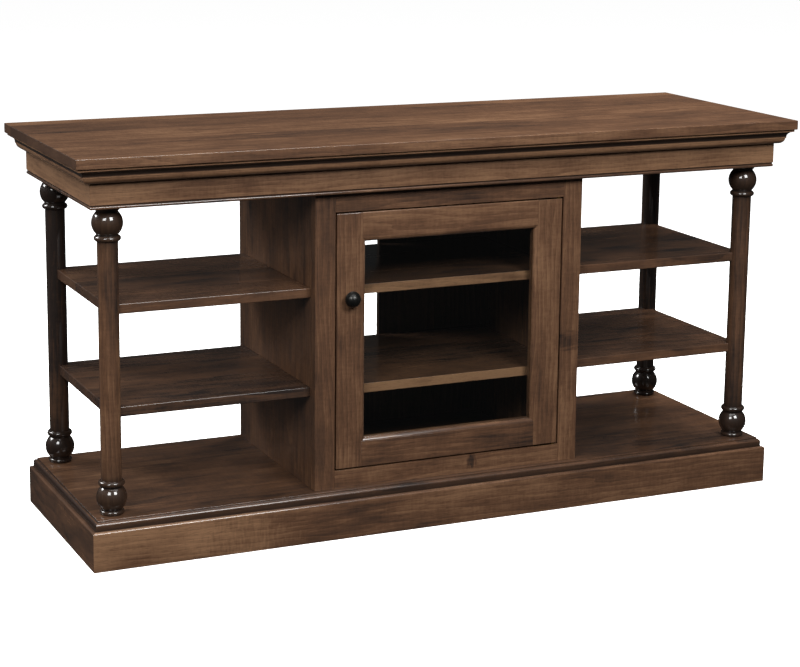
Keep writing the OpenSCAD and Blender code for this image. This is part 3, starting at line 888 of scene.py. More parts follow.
# On a worked-out surface the steps of its arcs are smooth, and sharper turns stay crisp
SHELL_CREASE = math.radians(32.0)
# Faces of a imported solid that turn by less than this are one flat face
FLAT_TURN = math.radians(0.5)
# Shorter edges than this are steps of a bore or a notch, which aren't eased
SHORTEST_EASED = 3.0 * MM
# Points closer to a plane than this lie on it
ON_PLANE = 0.1 * MM


def smooth(mesh: bpy.types.Mesh, crease: float) -> None:
    """Shades a mesh smooth but for edges that turn by more than crease, in radians."""
    mesh.polygons.foreach_set("use_smooth", np.ones(len(mesh.polygons), bool))
    mesh.set_sharp_from_angle(angle=crease)


def keep_flat(piece: bpy.types.Object) -> None:
    """Keeps wide faces flat in the light where narrow rounded ones meet them."""
    piece.modifiers.new("flat faces stay flat", "WEIGHTED_NORMAL").keep_sharp = True


def ease_arrises(piece: bpy.types.Object, width: float, segments: int,
                 weighted: bool) -> None:
    """Rounds a piece's arrises and keeps its wide faces flat.

    Args:
        piece: the piece.
        width: width of the widest easing, in millimetres.
        segments: number of steps across it.
        weighted: whether each edge is eased by its own share of the width, rather than
            every arris by the same.
    """
    bevel = piece.modifiers.new("eased arrises", "BEVEL")
    bevel.limit_method = "WEIGHT" if weighted else "ANGLE"
    bevel.angle_limit = CREASE
    bevel.width = width * MM
    bevel.segments = segments
    bevel.use_clamp_overlap = not weighted
    keep_flat(piece)


class Slot(Enum):
    """Names of the record's material slots; the pieces made here don't take them."""

    HARDWOOD = "stained_hardwood"
    PANEL = "stained_panel"
    PLYWOOD = "stained_plywood"
    GLASS = "clear_glass"
    BRONZE = "dark_bronze"


def enlist(mesh: bpy.types.Mesh, node: str, body: Body,
           material: bpy.types.Material) -> bpy.types.Object:
    """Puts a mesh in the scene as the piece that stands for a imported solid.

    Args:
        mesh: the piece's mesh, whose name it takes.
        node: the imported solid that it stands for.
        body: the body that it rides on.
        material: its finish.

    Returns:
        The new object.
    """
    mesh.materials.clear()
    mesh.materials.append(material)
    piece = bpy.data.objects.new(mesh.name, mesh)
    bpy.context.scene.collection.objects.link(piece)
    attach(piece, body.value)
    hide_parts(node)
    LOG.info("%s: %d faces", piece.name, len(mesh.polygons))
    return piece


def make_piece(name: str, shell: Shell, node: str, body: Body,
               material: bpy.types.Material) -> None:
    """Makes a finished piece from a worked-out surface.

    Args:
        name: the piece's name.
        shell: its surface.
        node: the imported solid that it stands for.
        body: the body that it rides on.
        material: its finish.
    """
    mesh = bpy.data.meshes.new(name)
    mesh.from_pydata(shell.points, [], shell.faces)
    smooth(mesh, SHELL_CREASE)
    if shell.glaze is not None:
        layer = mesh.attributes.new("glaze", "FLOAT", "POINT")
        layer.data.foreach_set("value", shell.glaze.astype(np.float32))
    keep_flat(enlist(mesh, node, body, material))


def merged_mesh(name: str, node: str) -> bpy.types.Mesh:
    """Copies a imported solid's mesh with its triangles merged into whole faces.

    Args:
        name: name of the copy.
        node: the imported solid.

    Returns:
        The new mesh.
    """
    work = bmesh.new()
    work.from_mesh(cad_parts[node].data)
    bmesh.ops.remove_doubles(work, verts=work.verts, dist=WELD)
    bmesh.ops.dissolve_limit(work, angle_limit=FLAT_TURN, verts=work.verts, edges=work.edges)
    mesh = bpy.data.meshes.new(name)
    work.to_mesh(mesh)
    work.free()
    return mesh


def read(members: bpy.types.bpy_prop_collection, name: str, shape: tuple[int, ...] = (),
         kind: type = float) -> np.ndarray:
    """Reads one property of all the members of a mesh's collection.

    Args:
        members: the vertices, edges, loops or faces.
        name: the property.
        shape: shape of one member's values.
        kind: type of the values.

    Returns:
        Array with one row for each member.
    """
    values = np.zeros(len(members) * math.prod(shape), kind)
    members.foreach_get(name, values)
    return values.reshape(len(members), *shape)


def edge_turns(mesh: bpy.types.Mesh) -> np.ndarray:
    """Works out how far the two faces of each edge turn.

    Every face's normal is given to its loops, the loops are sorted by edge, and the turn's
    cosine is the dot product of the two normals at each edge.

    Args:
        mesh: a closed mesh.

    Returns:
        Cosine of each edge's turn.
    """
    normals = read(mesh.polygons, "normal", (3,))
    of_loops = np.repeat(normals, read(mesh.polygons, "loop_total", kind=int), axis=0)
    order = np.argsort(read(mesh.loops, "edge_index", kind=int), kind="stable")
    sides = of_loops[order].reshape(-1, 2, 3)
    return np.sum(sides[:, 0] * sides[:, 1], axis=1)


@dataclass(frozen=True)
class Rim:
    """The outline of a frame's front, whose arrises are eased more boldly.

    Attributes:
        low: lowest corner of the frame, in metres, with the front plane's Y.
        high: highest corner of the frame, in metres.
        ease: width of the easing, in millimetres.
    """

    low: np.ndarray
    high: np.ndarray
    ease: float

    def holds(self, ends: np.ndarray) -> np.ndarray:
        """Finds the edges that lie both on the front plane and on the frame's outline.

        Args:
            ends: place of each edge's two ends, in metres.

        Returns:
            Array with a truth value for each edge.
        """
        outline = np.zeros(len(ends), bool)
        for axis in (0, 2):
            for limit in (self.low[axis], self.high[axis]):
                outline |= np.all(np.abs(ends[:, :, axis] - limit) < ON_PLANE, axis=1)
        return outline & np.all(np.abs(ends[:, :, 1] - self.low[1]) < ON_PLANE, axis=1)


def eased_copy(name: str, node: str, body: Body, material: bpy.types.Material,
               fine: float, rim: Rim | None = None) -> None:
    """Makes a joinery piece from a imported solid, with each arris eased by its own amount.

    Args:
        name: the piece's name.
        node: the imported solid.
        body: the body that it rides on.
        material: its finish.
        fine: width of the usual easing, in millimetres.
        rim: the outline that is eased more boldly.
    """
    mesh = merged_mesh(name, node)
    ends = read(mesh.vertices, "co", (3,))[read(mesh.edges, "vertices", (2,), int)]
    length = np.linalg.norm(ends[:, 1] - ends[:, 0], axis=1)
    sharp = (edge_turns(mesh) < math.cos(CREASE)) & (length > SHORTEST_EASED)
    ease = np.where(sharp, fine, 0.0)
    if rim is not None:
        ease[sharp & rim.holds(ends)] = rim.ease
    widest = max(fine, rim.ease if rim is not None else 0.0)
    weight = mesh.attributes.new("bevel_weight_edge", "FLOAT", "EDGE")
    weight.data.foreach_set("value", (ease / widest).astype(np.float32))
    smooth(mesh, CREASE)
    ease_arrises(enlist(mesh, node, body, material), widest, 3, True)


def dress_solid(node: str, material: bpy.types.Material, ease: float) -> None:
    """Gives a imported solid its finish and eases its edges.

    Args:
        node: name of the solid.
        material: its finish.
        ease: width of the eased edges, in millimetres.
    """
    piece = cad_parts[node]
    piece.data.materials.clear()
    piece.data.materials.append(material)
    piece.data.polygons.foreach_set("use_smooth", np.ones(len(piece.data.polygons), bool))
    piece.modifiers.new("joined triangles", "WELD").merge_threshold = WELD
    ease_arrises(piece, ease, 2, False)
    LOG.info("%s: dressed in %s", node, material.name)


# ---- Sub-assemblies ------------------------------------------------------------------------


@dataclass
class TopFrame:
    """Slab, crown moulding, apron and the soffit panel whose edge is the bead.

    Sizes are in millimetres. Tones are of the front, right, back and left boards, and are partly
    painted light: the left boards are painted lighter where more light falls.
    """

    slab_ease: float = 1.4
    slab_corner: float = 1.5
    # Painted light on the slab's front edge: how far back it reaches, and how much lighter it is
    painted_light_reach: float = 2.0
    painted_light: float = -0.12
    fillet: float = 5.0
    cove: float = 11.5
    step_height: float = 2.5
    step_in: float = 1.5
    step_ease: float = 0.3
    ovolo: float = 11.5
    sweep_points: int = 15
    reach: float = 29.0
    quirk_in: float = 1.5
    quirk_height: float = 2.5
    quirk_ease: float = 0.5
    board: float = 19.0
    arris: float = 0.6
    bead: float = 2.6
    # Partly painted light: the lit left and front boards are painted lighter
    crown_tones: tuple[float, ...] = (0.1, 0.05, 0.05, 0.1)
    apron_tones: tuple[float, ...] = (0.19, 0.2, 0.1, 0.34)
    seed: int = 100

    def crown_section(self) -> np.ndarray:
        """Section of the crown: fillet, cove, step and ovolo, anticlockwise from its foot.

        Returns:
            Array of (inset, height above the crown's foot), in millimetres.
        """
        cove_z = self.ovolo + self.step_height
        top = cove_z + self.cove + self.fillet
        ovolo_in = self.cove + self.step_in
        corner = arc((self.arris, top - self.arris), self.arris, 90, 180, 4)
        lip = arc((self.arris, cove_z + self.cove + self.arris), self.arris, 180, 270, 4)
        hollow = arc((0, cove_z), self.cove, 88, 0, self.sweep_points)
        step = [(self.cove, self.ovolo + self.step_ease), (self.cove + self.step_ease, self.ovolo)]
        swell = arc((ovolo_in + self.ovolo, self.ovolo), self.ovolo, 180, 270, self.sweep_points)
        back = [(self.reach, 0.0), (self.reach, top)]
        return np.concatenate([back, corner, lip, hollow, step, swell])

    def crown_glaze(self) -> np.ndarray:
        """Painted shade and highlight along the crown's section: painted shade deep in the cove,
        under the slab and at the ovolo's foot, where shade falls.

        It rises evenly down the cove, turns into a painted highlight on the step and the fillet,
        and rises as a square of the way down the ovolo, whose lower half faces down into shade.

        Returns:
            Array with one value for each point of the section.
        """
        back, corner, lip, step = [0.9, 0.9], [0.5, 0.1, 0, 0], [-0.1, 0, 0.1, 0.5], [-0.4, -0.4]
        hollow = np.linspace(0.8, 0.97, self.sweep_points)
        hollow[-1] = 0.3
        swell = 1.15 * np.linspace(0, 1, self.sweep_points) ** 2 - 0.15
        return np.concatenate([back, corner, lip, hollow, step, swell])

    def apron_section(self, height: float) -> np.ndarray:
        """Section of the apron, with its quirk at the foot, anticlockwise.

        Args:
            height: height of the board, in millimetres.

        Returns:
            Array of (inset, height above the apron's foot), in millimetres.
        """
        ease, top = self.quirk_ease, self.quirk_height
        return np.array([
            (self.quirk_in, 0.0), (self.board, 0.0), (self.board, height), (0.0, height),
            (0.0, top + ease), (0.3 * ease, top + 0.3 * ease), (ease, top), (self.quirk_in, top)])

    def apron_glaze(self) -> np.ndarray:
        """Gives the painted shade along the apron's section: in the quirk, and the crown's painted
        shadow along its top.
        """
        return np.array([0.9, 0.9, 0.6, 0.6, 0.0, 0.1, 0.5, 0.9])

    def build(self) -> None:
        """Makes the pieces of the top."""
        low, high = node_box("top_slab")
        slab = plate(rectangle(low[:2], high[:2], self.slab_corner * MM),
                     eased_edge(low[2], high[2], self.slab_ease * MM))
        # Painted light: the slab's front edge is painted lighter, where it catches the light
        front = slab.points[:, 1] < low[1] + self.painted_light_reach * MM
        slab = slab.glazed_and_shaded(np.where(front, self.painted_light, 0.0))
        board = Board("top_slab", Grain.ALONG_X, self.seed, True, tone=-0.05, soak=0.6)
        make_piece("slab", slab, "top_slab", Body.CABINET,
                   EVEN_MAPLE.material(board))
        self.ring("crown", self.crown_section(), self.crown_glaze(), self.seed + 1,
                  self.crown_tones)
        low, high = node_box("apron_front")
        section = self.apron_section((high[2] - low[2]) / MM)
        self.ring("apron", section, self.apron_glaze(), self.seed + 5, self.apron_tones)
        self.soffit()

    def ring(self, kind: str, section: np.ndarray, glaze: np.ndarray, seed: int,
             tones: tuple[float, ...]) -> None:
        """Makes the four mitred boards of a moulding.

        Args:
            kind: "crown" or "apron".
            section: the boards' section, in millimetres.
            glaze: painted shade and painted highlight at each point of the section.
            seed: seed of the front board's wood; the others follow it.
            tones: shift of each board's wood towards its light tone.
        """
        low, high = node_box(f"{kind}_front")
        half = (high[0], -low[1])
        for side, tone in zip(Side, tones):
            where = side.name.lower()
            shell = mitred_side(section * MM, half, side).moved(np.array([0, 0, low[2]]))
            board = Board(f"{kind}_{where}", side.grain(), seed + side.value, tone=tone)
            make_piece(f"{kind}_board_{where}", shell.glazed_and_shaded(np.tile(glaze, 2)), board.node,
                       Body.CABINET, MOULDED_MAPLE.material(board))

    def soffit(self) -> None:
        """Makes the soffit panel: a plate with both arrises rounded, bored for the posts."""
        low, high = node_box("soffit_panel")
        edge = eased_edge(low[2], high[2], self.bead * MM, 7)
        shell = plate(rectangle(low[:2], high[:2]), edge, post_bores())
        board = Board("soffit_panel", Grain.ALONG_X, self.seed + 9, tone=-0.05)
        make_piece("soffit", shell, "soffit_panel", Body.CABINET,
                   MOULDED_MAPLE.material(board))


POST_NODES = ("post_front_left", "post_front_right", "post_rear_left", "post_rear_right")
# Radius of the hole that a post's 22 mm tenon fits
BORE_RADIUS = 11.05 * MM


def post_bores() -> list[tuple[float, float, float]]:
    """Gives the centre and radius of each post's tenon bore, in metres."""
    middles = [sum(node_box(node)) / 2 for node in POST_NODES]
    return [(float(middle[0]), float(middle[1]), BORE_RADIUS) for middle in middles]


@dataclass
class Posts:
    """Turned corner posts: collar, ball and ring at each end of a plain shaft, with tenons.

    Sizes are in millimetres. Tones are in the order of POST_NODES.
    """

    shaft: float = 39.0
    groove: float = 41.0
    collar: float = 47.0
    collar_height: float = 8.5
    collar_points: int = 13
    ball: float = 58.0
    ball_middle: float = 31.5
    ball_points: int = 33
    ring: float = 50.0
    ring_start: float = 54.5
    ring_height: float = 10.5
    ring_points: int = 15
    tenon: float = 22.0
    tenon_length: float = 38.0
    tenon_chamfer: float = 1.0
    fade: tuple[float, ...] = (0.0, 12.0, 50.0, 120.0)
    fade_glaze: tuple[float, ...] = (0.8, 0.4, 0.12, 0.0)
    segments: int = 72
    # The rear posts are darker partly from their stain and partly as painted shade, for the shadow
    # of the case they stand in
    tones: tuple[float, ...] = (-0.02, -0.19, -0.37, -0.46)
    seed: int = 200

    def bulge(self, width: float, height: float, middle: float, count: int,
              last: float | None = None) -> np.ndarray:
        """A turned bulge: a circle's arc from where it rises out of the groove.

        The circle's centre lies its own radius inside the bulge's widest point, and the arc
        starts at the angle whose cosine brings it to the groove's radius.

        Args:
            width: diameter of the post at the bulge's widest point.
            height: diameter of the circle.
            middle: distance of its centre from the post's end.
            count: points along the arc.
            last: last angle in degrees, where it doesn't go down to the groove again.

        Returns:
            Array of (radius, distance from the end), in millimetres.
        """
        centre = (width - height) / 2
        rise = math.degrees(math.acos((self.groove / 2 - centre) / (height / 2)))
        return arc((centre, middle), height / 2, -rise, rise if last is None else last, count)

    def end_profile(self) -> np.ndarray:
        """Profile of one turned end, from its shoulder to the shaft.

        Returns:
            Array of (radius, distance from the end), in millimetres.
        """
        collar = self.bulge(self.collar, self.collar_height, self.collar_height / 2,
                            self.collar_points)
        ball = self.bulge(self.ball, self.ball, self.ball_middle, self.ball_points)
        ring = self.bulge(self.ring, self.ring_height, self.ring_start + self.ring_height / 2,
                          self.ring_points, 90)
        edge = self.ring_start + self.ring_height
        shaft = [(self.shaft / 2, edge + step) for step in self.fade]
        return np.concatenate([[(self.groove / 2, 0.0)], collar, ball, ring, shaft])

    def end_glaze(self) -> np.ndarray:
        """Glaze and painted shade along one turned end: the stain that the turned work soaks up,
        fading out up the shaft, and painted shade deepest in the grooves.

        Returns:
            Array with one value for each point of the end's profile.
        """
        ball_start = 1 + self.collar_points
        ring_start = ball_start + self.ball_points
        work = np.full(ring_start + self.ring_points, 0.8)
        # Painted shade in the grooves: the two points on either side of each groove
        work[[0, 1, ball_start - 1, ball_start, ring_start - 1, ring_start]] = 1.0
        return np.concatenate([work, self.fade_glaze])

    def profile(self, length: float) -> np.ndarray:
        """Whole profile of a post, with its tenons.

        Args:
            length: distance between the two shoulders, in millimetres.

        Returns:
            Array of (radius, height above the lower shoulder), in millimetres.
        """
        lower = self.end_profile()
        upper = lower[::-1] * (1, -1) + (0, length)
        tenon, chamfer = self.tenon / 2, self.tenon_chamfer
        foot = np.array([(tenon - chamfer, -self.tenon_length),
                         (tenon, chamfer - self.tenon_length), (tenon, 0.0)])
        head = foot[::-1] * (1, -1) + (0, length)
        return np.concatenate([foot, lower, upper, head])

    def build(self) -> None:
        """Makes the four posts."""
        end = self.end_glaze()
        glaze = np.concatenate([[0, 0, 0], end, end[::-1], [0, 0, 0]])
        for number, node in enumerate(POST_NODES):
            low, high = node_box(node)
            middle = (low + high) / 2
            length = (high[2] - low[2]) / MM - 2 * self.tenon_length
            start = np.array([middle[0], middle[1], low[2] + self.tenon_length * MM])
            shell = turned(self.profile(length) * MM, self.segments).moved(start)
            board = Board(node, Grain.ALONG_Z, self.seed + number, tone=self.tones[number],
                          soak=0.2)
            make_piece(f"turned_{node}", shell.glazed_and_shaded(np.repeat(glaze, self.segments)), node,
                       Body.CABINET, TURNED_MAPLE.material(board))


@dataclass
class Shelves:
    """Four side shelves notched round the posts, and two loose ones inside the case.

    Sizes are in millimetres.
    """

    ease: float = 1.6
    notch: float = 19.8
    loose_ease: float = 1.2
    loose_corner: float = 1.5
    # Painted light on the front edges of the shelves inside the case: how far back it reaches, and
    # how much lighter
    painted_light_reach: float = 0.6
    painted_light: float = -0.55
    # Partly painted shade: the shelves are darker, as less light falls on the lower boards
    tone: float = -0.12
    seed: int = 300

    def side_outline(self, low: np.ndarray, high: np.ndarray) -> np.ndarray:
        """Outline of a right-hand shelf: a rectangle with its outer corners cut round the posts.

        Args:
            low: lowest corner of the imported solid.
            high: highest corner.

        Returns:
            Anticlockwise outline.
        """
        across, depth = np.max(post_bores(), axis=0)[:2]
        radius = self.notch * MM
        reach = math.degrees(math.asin((high[0] - across) / radius))
        front = arc((across, -depth), radius, 180 + reach, 90 - reach, 17)
        back = arc((across, depth), radius, -90 + reach, -180 - reach, 17)
        return np.concatenate([[low[:2]], front, back, [(low[0], high[1])]])

    def side_shelf(self, node: str, seed: int, left: bool) -> None:
        """Makes one side shelf; a left one is a right one mirrored.

        Args:
            node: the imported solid.
            seed: seed of its wood.
            left: whether it is a left one.
        """
        low, high = node_box(node)
        if left:
            low[0], high[0] = -high[0], -low[0]
        outline = self.side_outline(low, high)
        if left:
            outline = outline[::-1] * (-1, 1)
        shell = plate(outline, eased_edge(low[2], high[2], self.ease * MM))
        board = Board(node, Grain.ALONG_X, seed, True, self.tone)
        make_piece(f"side_{node}", shell, node, Body.CABINET,
                   STAINED_MAPLE.material(board))

    def loose_shelf(self, node: str, seed: int) -> None:
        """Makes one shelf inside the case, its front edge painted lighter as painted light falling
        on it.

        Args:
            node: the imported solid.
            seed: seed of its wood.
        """
        low, high = node_box(node)
        shell = plate(rectangle(low[:2], high[:2], self.loose_corner * MM),
                      eased_edge(low[2], high[2], self.loose_ease * MM))
        # Painted light on the front edge
        front = shell.points[:, 1] < low[1] + self.painted_light_reach * MM
        board = Board(node, Grain.ALONG_X, seed, True, self.tone)
        make_piece(f"loose_{node}", shell.glazed_and_shaded(np.where(front, self.painted_light, 0.0)), node,
                   Body.CABINET, STAINED_MAPLE.material(board))

    def build(self) -> None:
        """Makes the six shelves."""
        heights = ("lower", "upper")
        sides = [(where, height) for where in ("left", "right") for height in heights]
        for number, (where, height) in enumerate(sides, start=1):
            self.side_shelf(f"shelf_{where}_{height}", self.seed + number, where == "left")
        for number, height in enumerate(heights, start=1 + len(sides)):
            self.loose_shelf(f"inner_shelf_{height}", self.seed + number)


# A small knot in the rail under the door, and a dark patch half-way up the right-hand stile
KNOT = Mark((0.05, -0.207, 0.119), 0.012, 0.016, 0.34)
PATCH = Mark((0.262, -0.207, 0.345), 0.02, 0.07, 0.2)


@dataclass
class CentreCase:
    """Partitions, face frame and back panel. Sizes are in millimetres."""

    stile_ease: float = 0.8
    stile_corner: float = 0.9
    member_ease: float = 0.3
    panel_ease: float = 0.4
    seed: int = 400

    def build(self) -> None:
        """Makes the face stiles, then eased copies of the bored and grooved boards."""
        for number, (node, tone) in enumerate((("face_stile_left", -0.04),
                                               ("face_stile_right", 0.03))):
            low, high = node_box(node)
            outline = rectangle((low[0], low[2]), (high[0], high[2]), self.stile_corner * MM)
            shell = plate(outline, eased_edge(-high[1], -low[1], self.stile_ease * MM))
            board = Board(node, Grain.ALONG_Z, self.seed + number, tone=tone, marks=(PATCH,))
            make_piece(f"board_{node}", shell.fronted(), node, Body.CABINET,
                       STAINED_MAPLE.material(board))
        seed = self.seed + 10
        for board in (
                Board("partition_left", Grain.ALONG_Z, seed + 1, True, -0.08),
                Board("partition_right", Grain.ALONG_Z, seed + 2, True, -0.08),
                Board("face_rail_top", Grain.ALONG_X, seed + 3, tone=-0.06),
                Board("face_rail_bottom", Grain.ALONG_X, seed + 4, tone=0.02, marks=(KNOT,))):
            eased_copy(f"joined_{board.node}", board.node, Body.CABINET,
                       STAINED_MAPLE.material(board), self.member_ease)
        board = Board("back_panel", Grain.ALONG_Z, seed + 5)
        eased_copy("slotted_back_panel", "back_panel", Body.CABINET,
                   STAINED_PLYWOOD.material(board), self.panel_ease)


@dataclass
class Door:
    """Glazed door: frame with a rounded sticking, glass, beads and knob.

    Sizes are in millimetres.
    """

    member_ease: float = 0.25
    rim_ease: float = 1.5
    bead_ease: float = 0.5
    pane_ease: float = 0.4
    pane_corner: float = 1.0
    knob: float = 32.0
    knob_reach: float = 27.0
    foot: float = 8.0
    foot_height: float = 2.0
    foot_ease: float = 0.6
    waist: float = 5.5
    waist_hollow: float = 2.0
    waist_height: float = 4.0
    head_height: float = 9.0
    flare: float = 3.0
    rim_height: float = 13.0
    rim_round: float = 1.0
    segments: int = 64
    seed: int = 500

    def knob_profile(self) -> np.ndarray:
        """Profile of the knob: foot disc, hollow waist, flared head and a low dome.

        The dome's radius is the square of its half width plus the square of its rise, over
        twice the rise.

        Returns:
            Array of (radius, distance from the door's face), in millimetres.
        """
        rim = self.knob / 2
        rise = self.knob_reach - self.rim_height
        dome = (rim ** 2 + rise ** 2) / (2 * rise)
        start = 94 - math.degrees(math.asin(rim / dome))
        shoulder = self.foot_height - self.foot_ease
        return np.concatenate([
            [(self.foot, 0.0), (self.foot, shoulder)],
            arc((self.foot - self.foot_ease, shoulder), self.foot_ease, 0, 90, 4)[1:],
            arc((self.waist + self.waist_hollow, self.waist_height), self.waist_hollow,
                270, 180, 6),
            arc((self.waist + self.flare, self.head_height - 2), self.flare, 180, 110, 8),
            arc((rim - self.rim_round, self.rim_height - 0.6), self.rim_round, -50, 25, 6),
            arc((0, self.knob_reach - dome), dome, start, 89.5, 16)])

    def frame_members(self) -> None:
        """Makes the stiles and rails, and the strips that hold the glass."""
        rim = Rim(node_box("door_stile_left")[0], node_box("door_stile_right")[1],
                  self.rim_ease)
        # The tones are partly painted light: the top rail is painted lighter and the bottom rail
        # darker, as the light falls off downwards
        for board in (Board("door_stile_left", Grain.ALONG_Z, self.seed + 1),
                      Board("door_stile_right", Grain.ALONG_Z, self.seed + 2, tone=0.09),
                      Board("door_rail_top", Grain.ALONG_X, self.seed + 3, tone=0.13),
                      Board("door_rail_bottom", Grain.ALONG_X, self.seed + 4, tone=-0.13)):
            eased_copy(f"joined_{board.node}", board.node, Body.DOOR,
                       STAINED_MAPLE.material(board), self.member_ease, rim)
        for board in (Board("glass_bead_top", Grain.ALONG_X, self.seed + 5),
                      Board("glass_bead_bottom", Grain.ALONG_X, self.seed + 6),
                      Board("glass_bead_left", Grain.ALONG_Z, self.seed + 7),
                      Board("glass_bead_right", Grain.ALONG_Z, self.seed + 8)):
            eased_copy(f"mitred_{board.node}", board.node, Body.DOOR,
                       STAINED_MAPLE.material(board), self.bead_ease)

    def build(self) -> None:
        """Makes the frame, the glass and the knob."""
        self.frame_members()
        low, high = node_box("door_glass")
        outline = rectangle((low[0], low[2]), (high[0], high[2]), self.pane_corner * MM)
        pane = plate(outline, eased_edge(-high[1], -low[1], self.pane_ease * MM, 3))
        make_piece("door_pane", pane.fronted(), "door_glass", Body.DOOR,
                   FloatGlass().material())
        low, high = node_box("door_knob")
        middle = (low + high) / 2
        shell = turned(self.knob_profile() * MM, self.segments).fronted()
        shell = shell.moved(np.array([middle[0], high[1], middle[2]]))
        make_piece("turned_knob", shell, "door_knob", Body.DOOR,
                   OILED_BRONZE.material())


@dataclass
class Base:
    """Deck board with its moulded edge, on a mitred plinth.

    Sizes are in millimetres. Tones are of the front, right, back and left boards.
    """

    deck_round: float = 5.5
    fillet_height: float = 3.5
    fillet_in: float = 6.2
    fillet_arris: float = 0.9
    # Painted shade in the deck edge's recesses, one value for each level of its profile: darkest at
    # its foot above the plinth and in the crease at the fillet's foot
    deck_glaze: tuple[float, ...] = (0.9, 0.4, 0.2, 0.1, 0, 0, 0, 0, 0.1, 0.4, 0.8, 0.4,
                                     0, 0, 0, 0)
    plinth_round: float = 4.0
    plinth_arris: float = 0.8
    board: float = 19.0
    # Partly painted shade: the left board is painted darker than the light falling on it would make
    # it
    plinth_tones: tuple[float, ...] = (0.02, -0.03, -0.03, -0.26)
    # A pale patch at the left front corner, partly paler figure and partly painted light where the
    # light falls on that corner
    pale_and_painted_light_end: Mark = Mark((-0.66, -0.231, 0.03), 0.3, 0.2, -0.2)
    seed: int = 600

    def deck_edge(self, low: float, high: float) -> np.ndarray:
        """Edge of the deck: upright, a quarter round, then a small upright fillet.

        Args:
            low: height of the lower face, in millimetres.
            high: height of the upper face.

        Returns:
            Array of (inset, height).
        """
        shoulder = high - self.fillet_height
        arris = self.fillet_arris
        return np.concatenate([
            [(0.0, low)],
            arc((self.deck_round, shoulder - self.deck_round), self.deck_round, 180, 90, 9),
            [(self.fillet_in - 0.3, shoulder + 0.1), (self.fillet_in, shoulder + 0.5)],
            arc((self.fillet_in + arris, high - arris), arris, 180, 90, 4)])

    def plinth_section(self, height: float) -> np.ndarray:
        """Section of the plinth, its upper arris rounded, anticlockwise from its foot.

        Args:
            height: height of the board, in millimetres.

        Returns:
            Array of (inset, height above the floor), in millimetres.
        """
        top, foot = self.plinth_round, self.plinth_arris
        return np.concatenate([[(self.board, 0.0), (self.board, height)],
                               arc((top, height - top), top, 90, 180, 8),
                               arc((foot, foot), foot, 180, 270, 4)])

    def build(self) -> None:
        """Makes the deck and the four plinth boards."""
        low, high = node_box("deck_board")
        outline = rectangle(low[:2], high[:2])
        shell = plate(outline, self.deck_edge(low[2] / MM, high[2] / MM) * MM, post_bores())
        around = np.repeat(self.deck_glaze, len(outline))
        shell = shell.glazed_and_shaded(np.pad(around, (0, len(shell.points) - len(around))))
        board = Board("deck_board", Grain.ALONG_X, self.seed, True, tone=-0.03, soak=0.95)
        make_piece("deck", shell, "deck_board", Body.CABINET,
                   STAINED_MAPLE.material(board))
        low, high = node_box("plinth_front")
        section = self.plinth_section((high[2] - low[2]) / MM)
        half = (high[0], -low[1])
        for side, tone in zip(Side, self.plinth_tones):
            where = side.name.lower()
            board = Board(f"plinth_{where}", side.grain(), self.seed + 1 + side.value,
                          tone=tone, marks=(self.pale_and_painted_light_end,))
            make_piece(f"plinth_board_{where}", mitred_side(section * MM, half, side),
                       board.node, Body.CABINET,
                       MOULDED_MAPLE.material(board))


@dataclass
class Hardware:
    """Hinges, catch, screws, pins and the plain blocks inside. Sizes are in millimetres."""

    brass: tuple[str, ...] = ("hinge_upper_frame_leaf", "hinge_upper_door_leaf",
                              "hinge_lower_frame_leaf", "hinge_lower_door_leaf",
                              "hinge_washers", "frame_screws", "door_screws")
    steel: tuple[str, ...] = ("slab_screws", "knob_screw", "back_screws", "shelf_pins",
                              "catch_plate")
    plain: tuple[str, ...] = ("apron_corner_blocks", "cross_rails", "plinth_corner_blocks",
                              "shelf_dowels")
    metal_ease: float = 0.15
    block_ease: float = 0.6
    seed: int = 700

    def build(self) -> None:
        """Dresses the hardware and the inner woodwork."""
        brass, steel = HINGE_BRASS.material(), ZINC_STEEL.material()
        for node in self.brass:
            dress_solid(node, brass, self.metal_ease)
        for node in self.steel:
            dress_solid(node, steel, self.metal_ease)
        for number, node in enumerate(self.plain):
            grain = Grain.ALONG_Y if node == "cross_rails" else Grain.ALONG_Z
            board = Board(node, grain, self.seed + number)
            dress_solid(node, BARE_PINE.material(board), self.block_ease)
        dress_solid("catch_body", MouldedPlastic().material(), self.block_ease)


# ---- Studio --------------------------------------------------------------------------------


@dataclass
class SoftBox:
    """A soft light: a rectangle that faces a point.

    Attributes:
        name: what it is for.
        place: its middle, in metres.
        target: the point that it faces.
        size: its width and height, in metres.
        power: its power, in watts.
        mirrored: whether lacquer and metal mirror it, or it only fills in shadows.
    """

    name: str
    place: tuple[float, float, float]
    target: tuple[float, float, float]
    size: tuple[float, float]
    power: float
    mirrored: bool = True

    def build(self) -> None:
        """Puts the light in the scene."""
        lamp = bpy.data.lights.new(self.name, "AREA")
        lamp.shape = "RECTANGLE"
        lamp.size, lamp.size_y = self.size
        lamp.energy = self.power
        holder = bpy.data.objects.new(self.name, lamp)
        holder.visible_glossy = self.mirrored
        bpy.context.scene.collection.objects.link(holder)
        back = np.array(self.place) - np.array(self.target)
        back /= np.linalg.norm(back)
        side = np.cross((0, 0, 1), back)
        side /= np.linalg.norm(side)
        up = np.cross(back, side)
        turn = Matrix(np.stack([side, up, back], axis=1).tolist()).to_4x4()
        turn.translation = self.place
        holder.matrix_world = turn


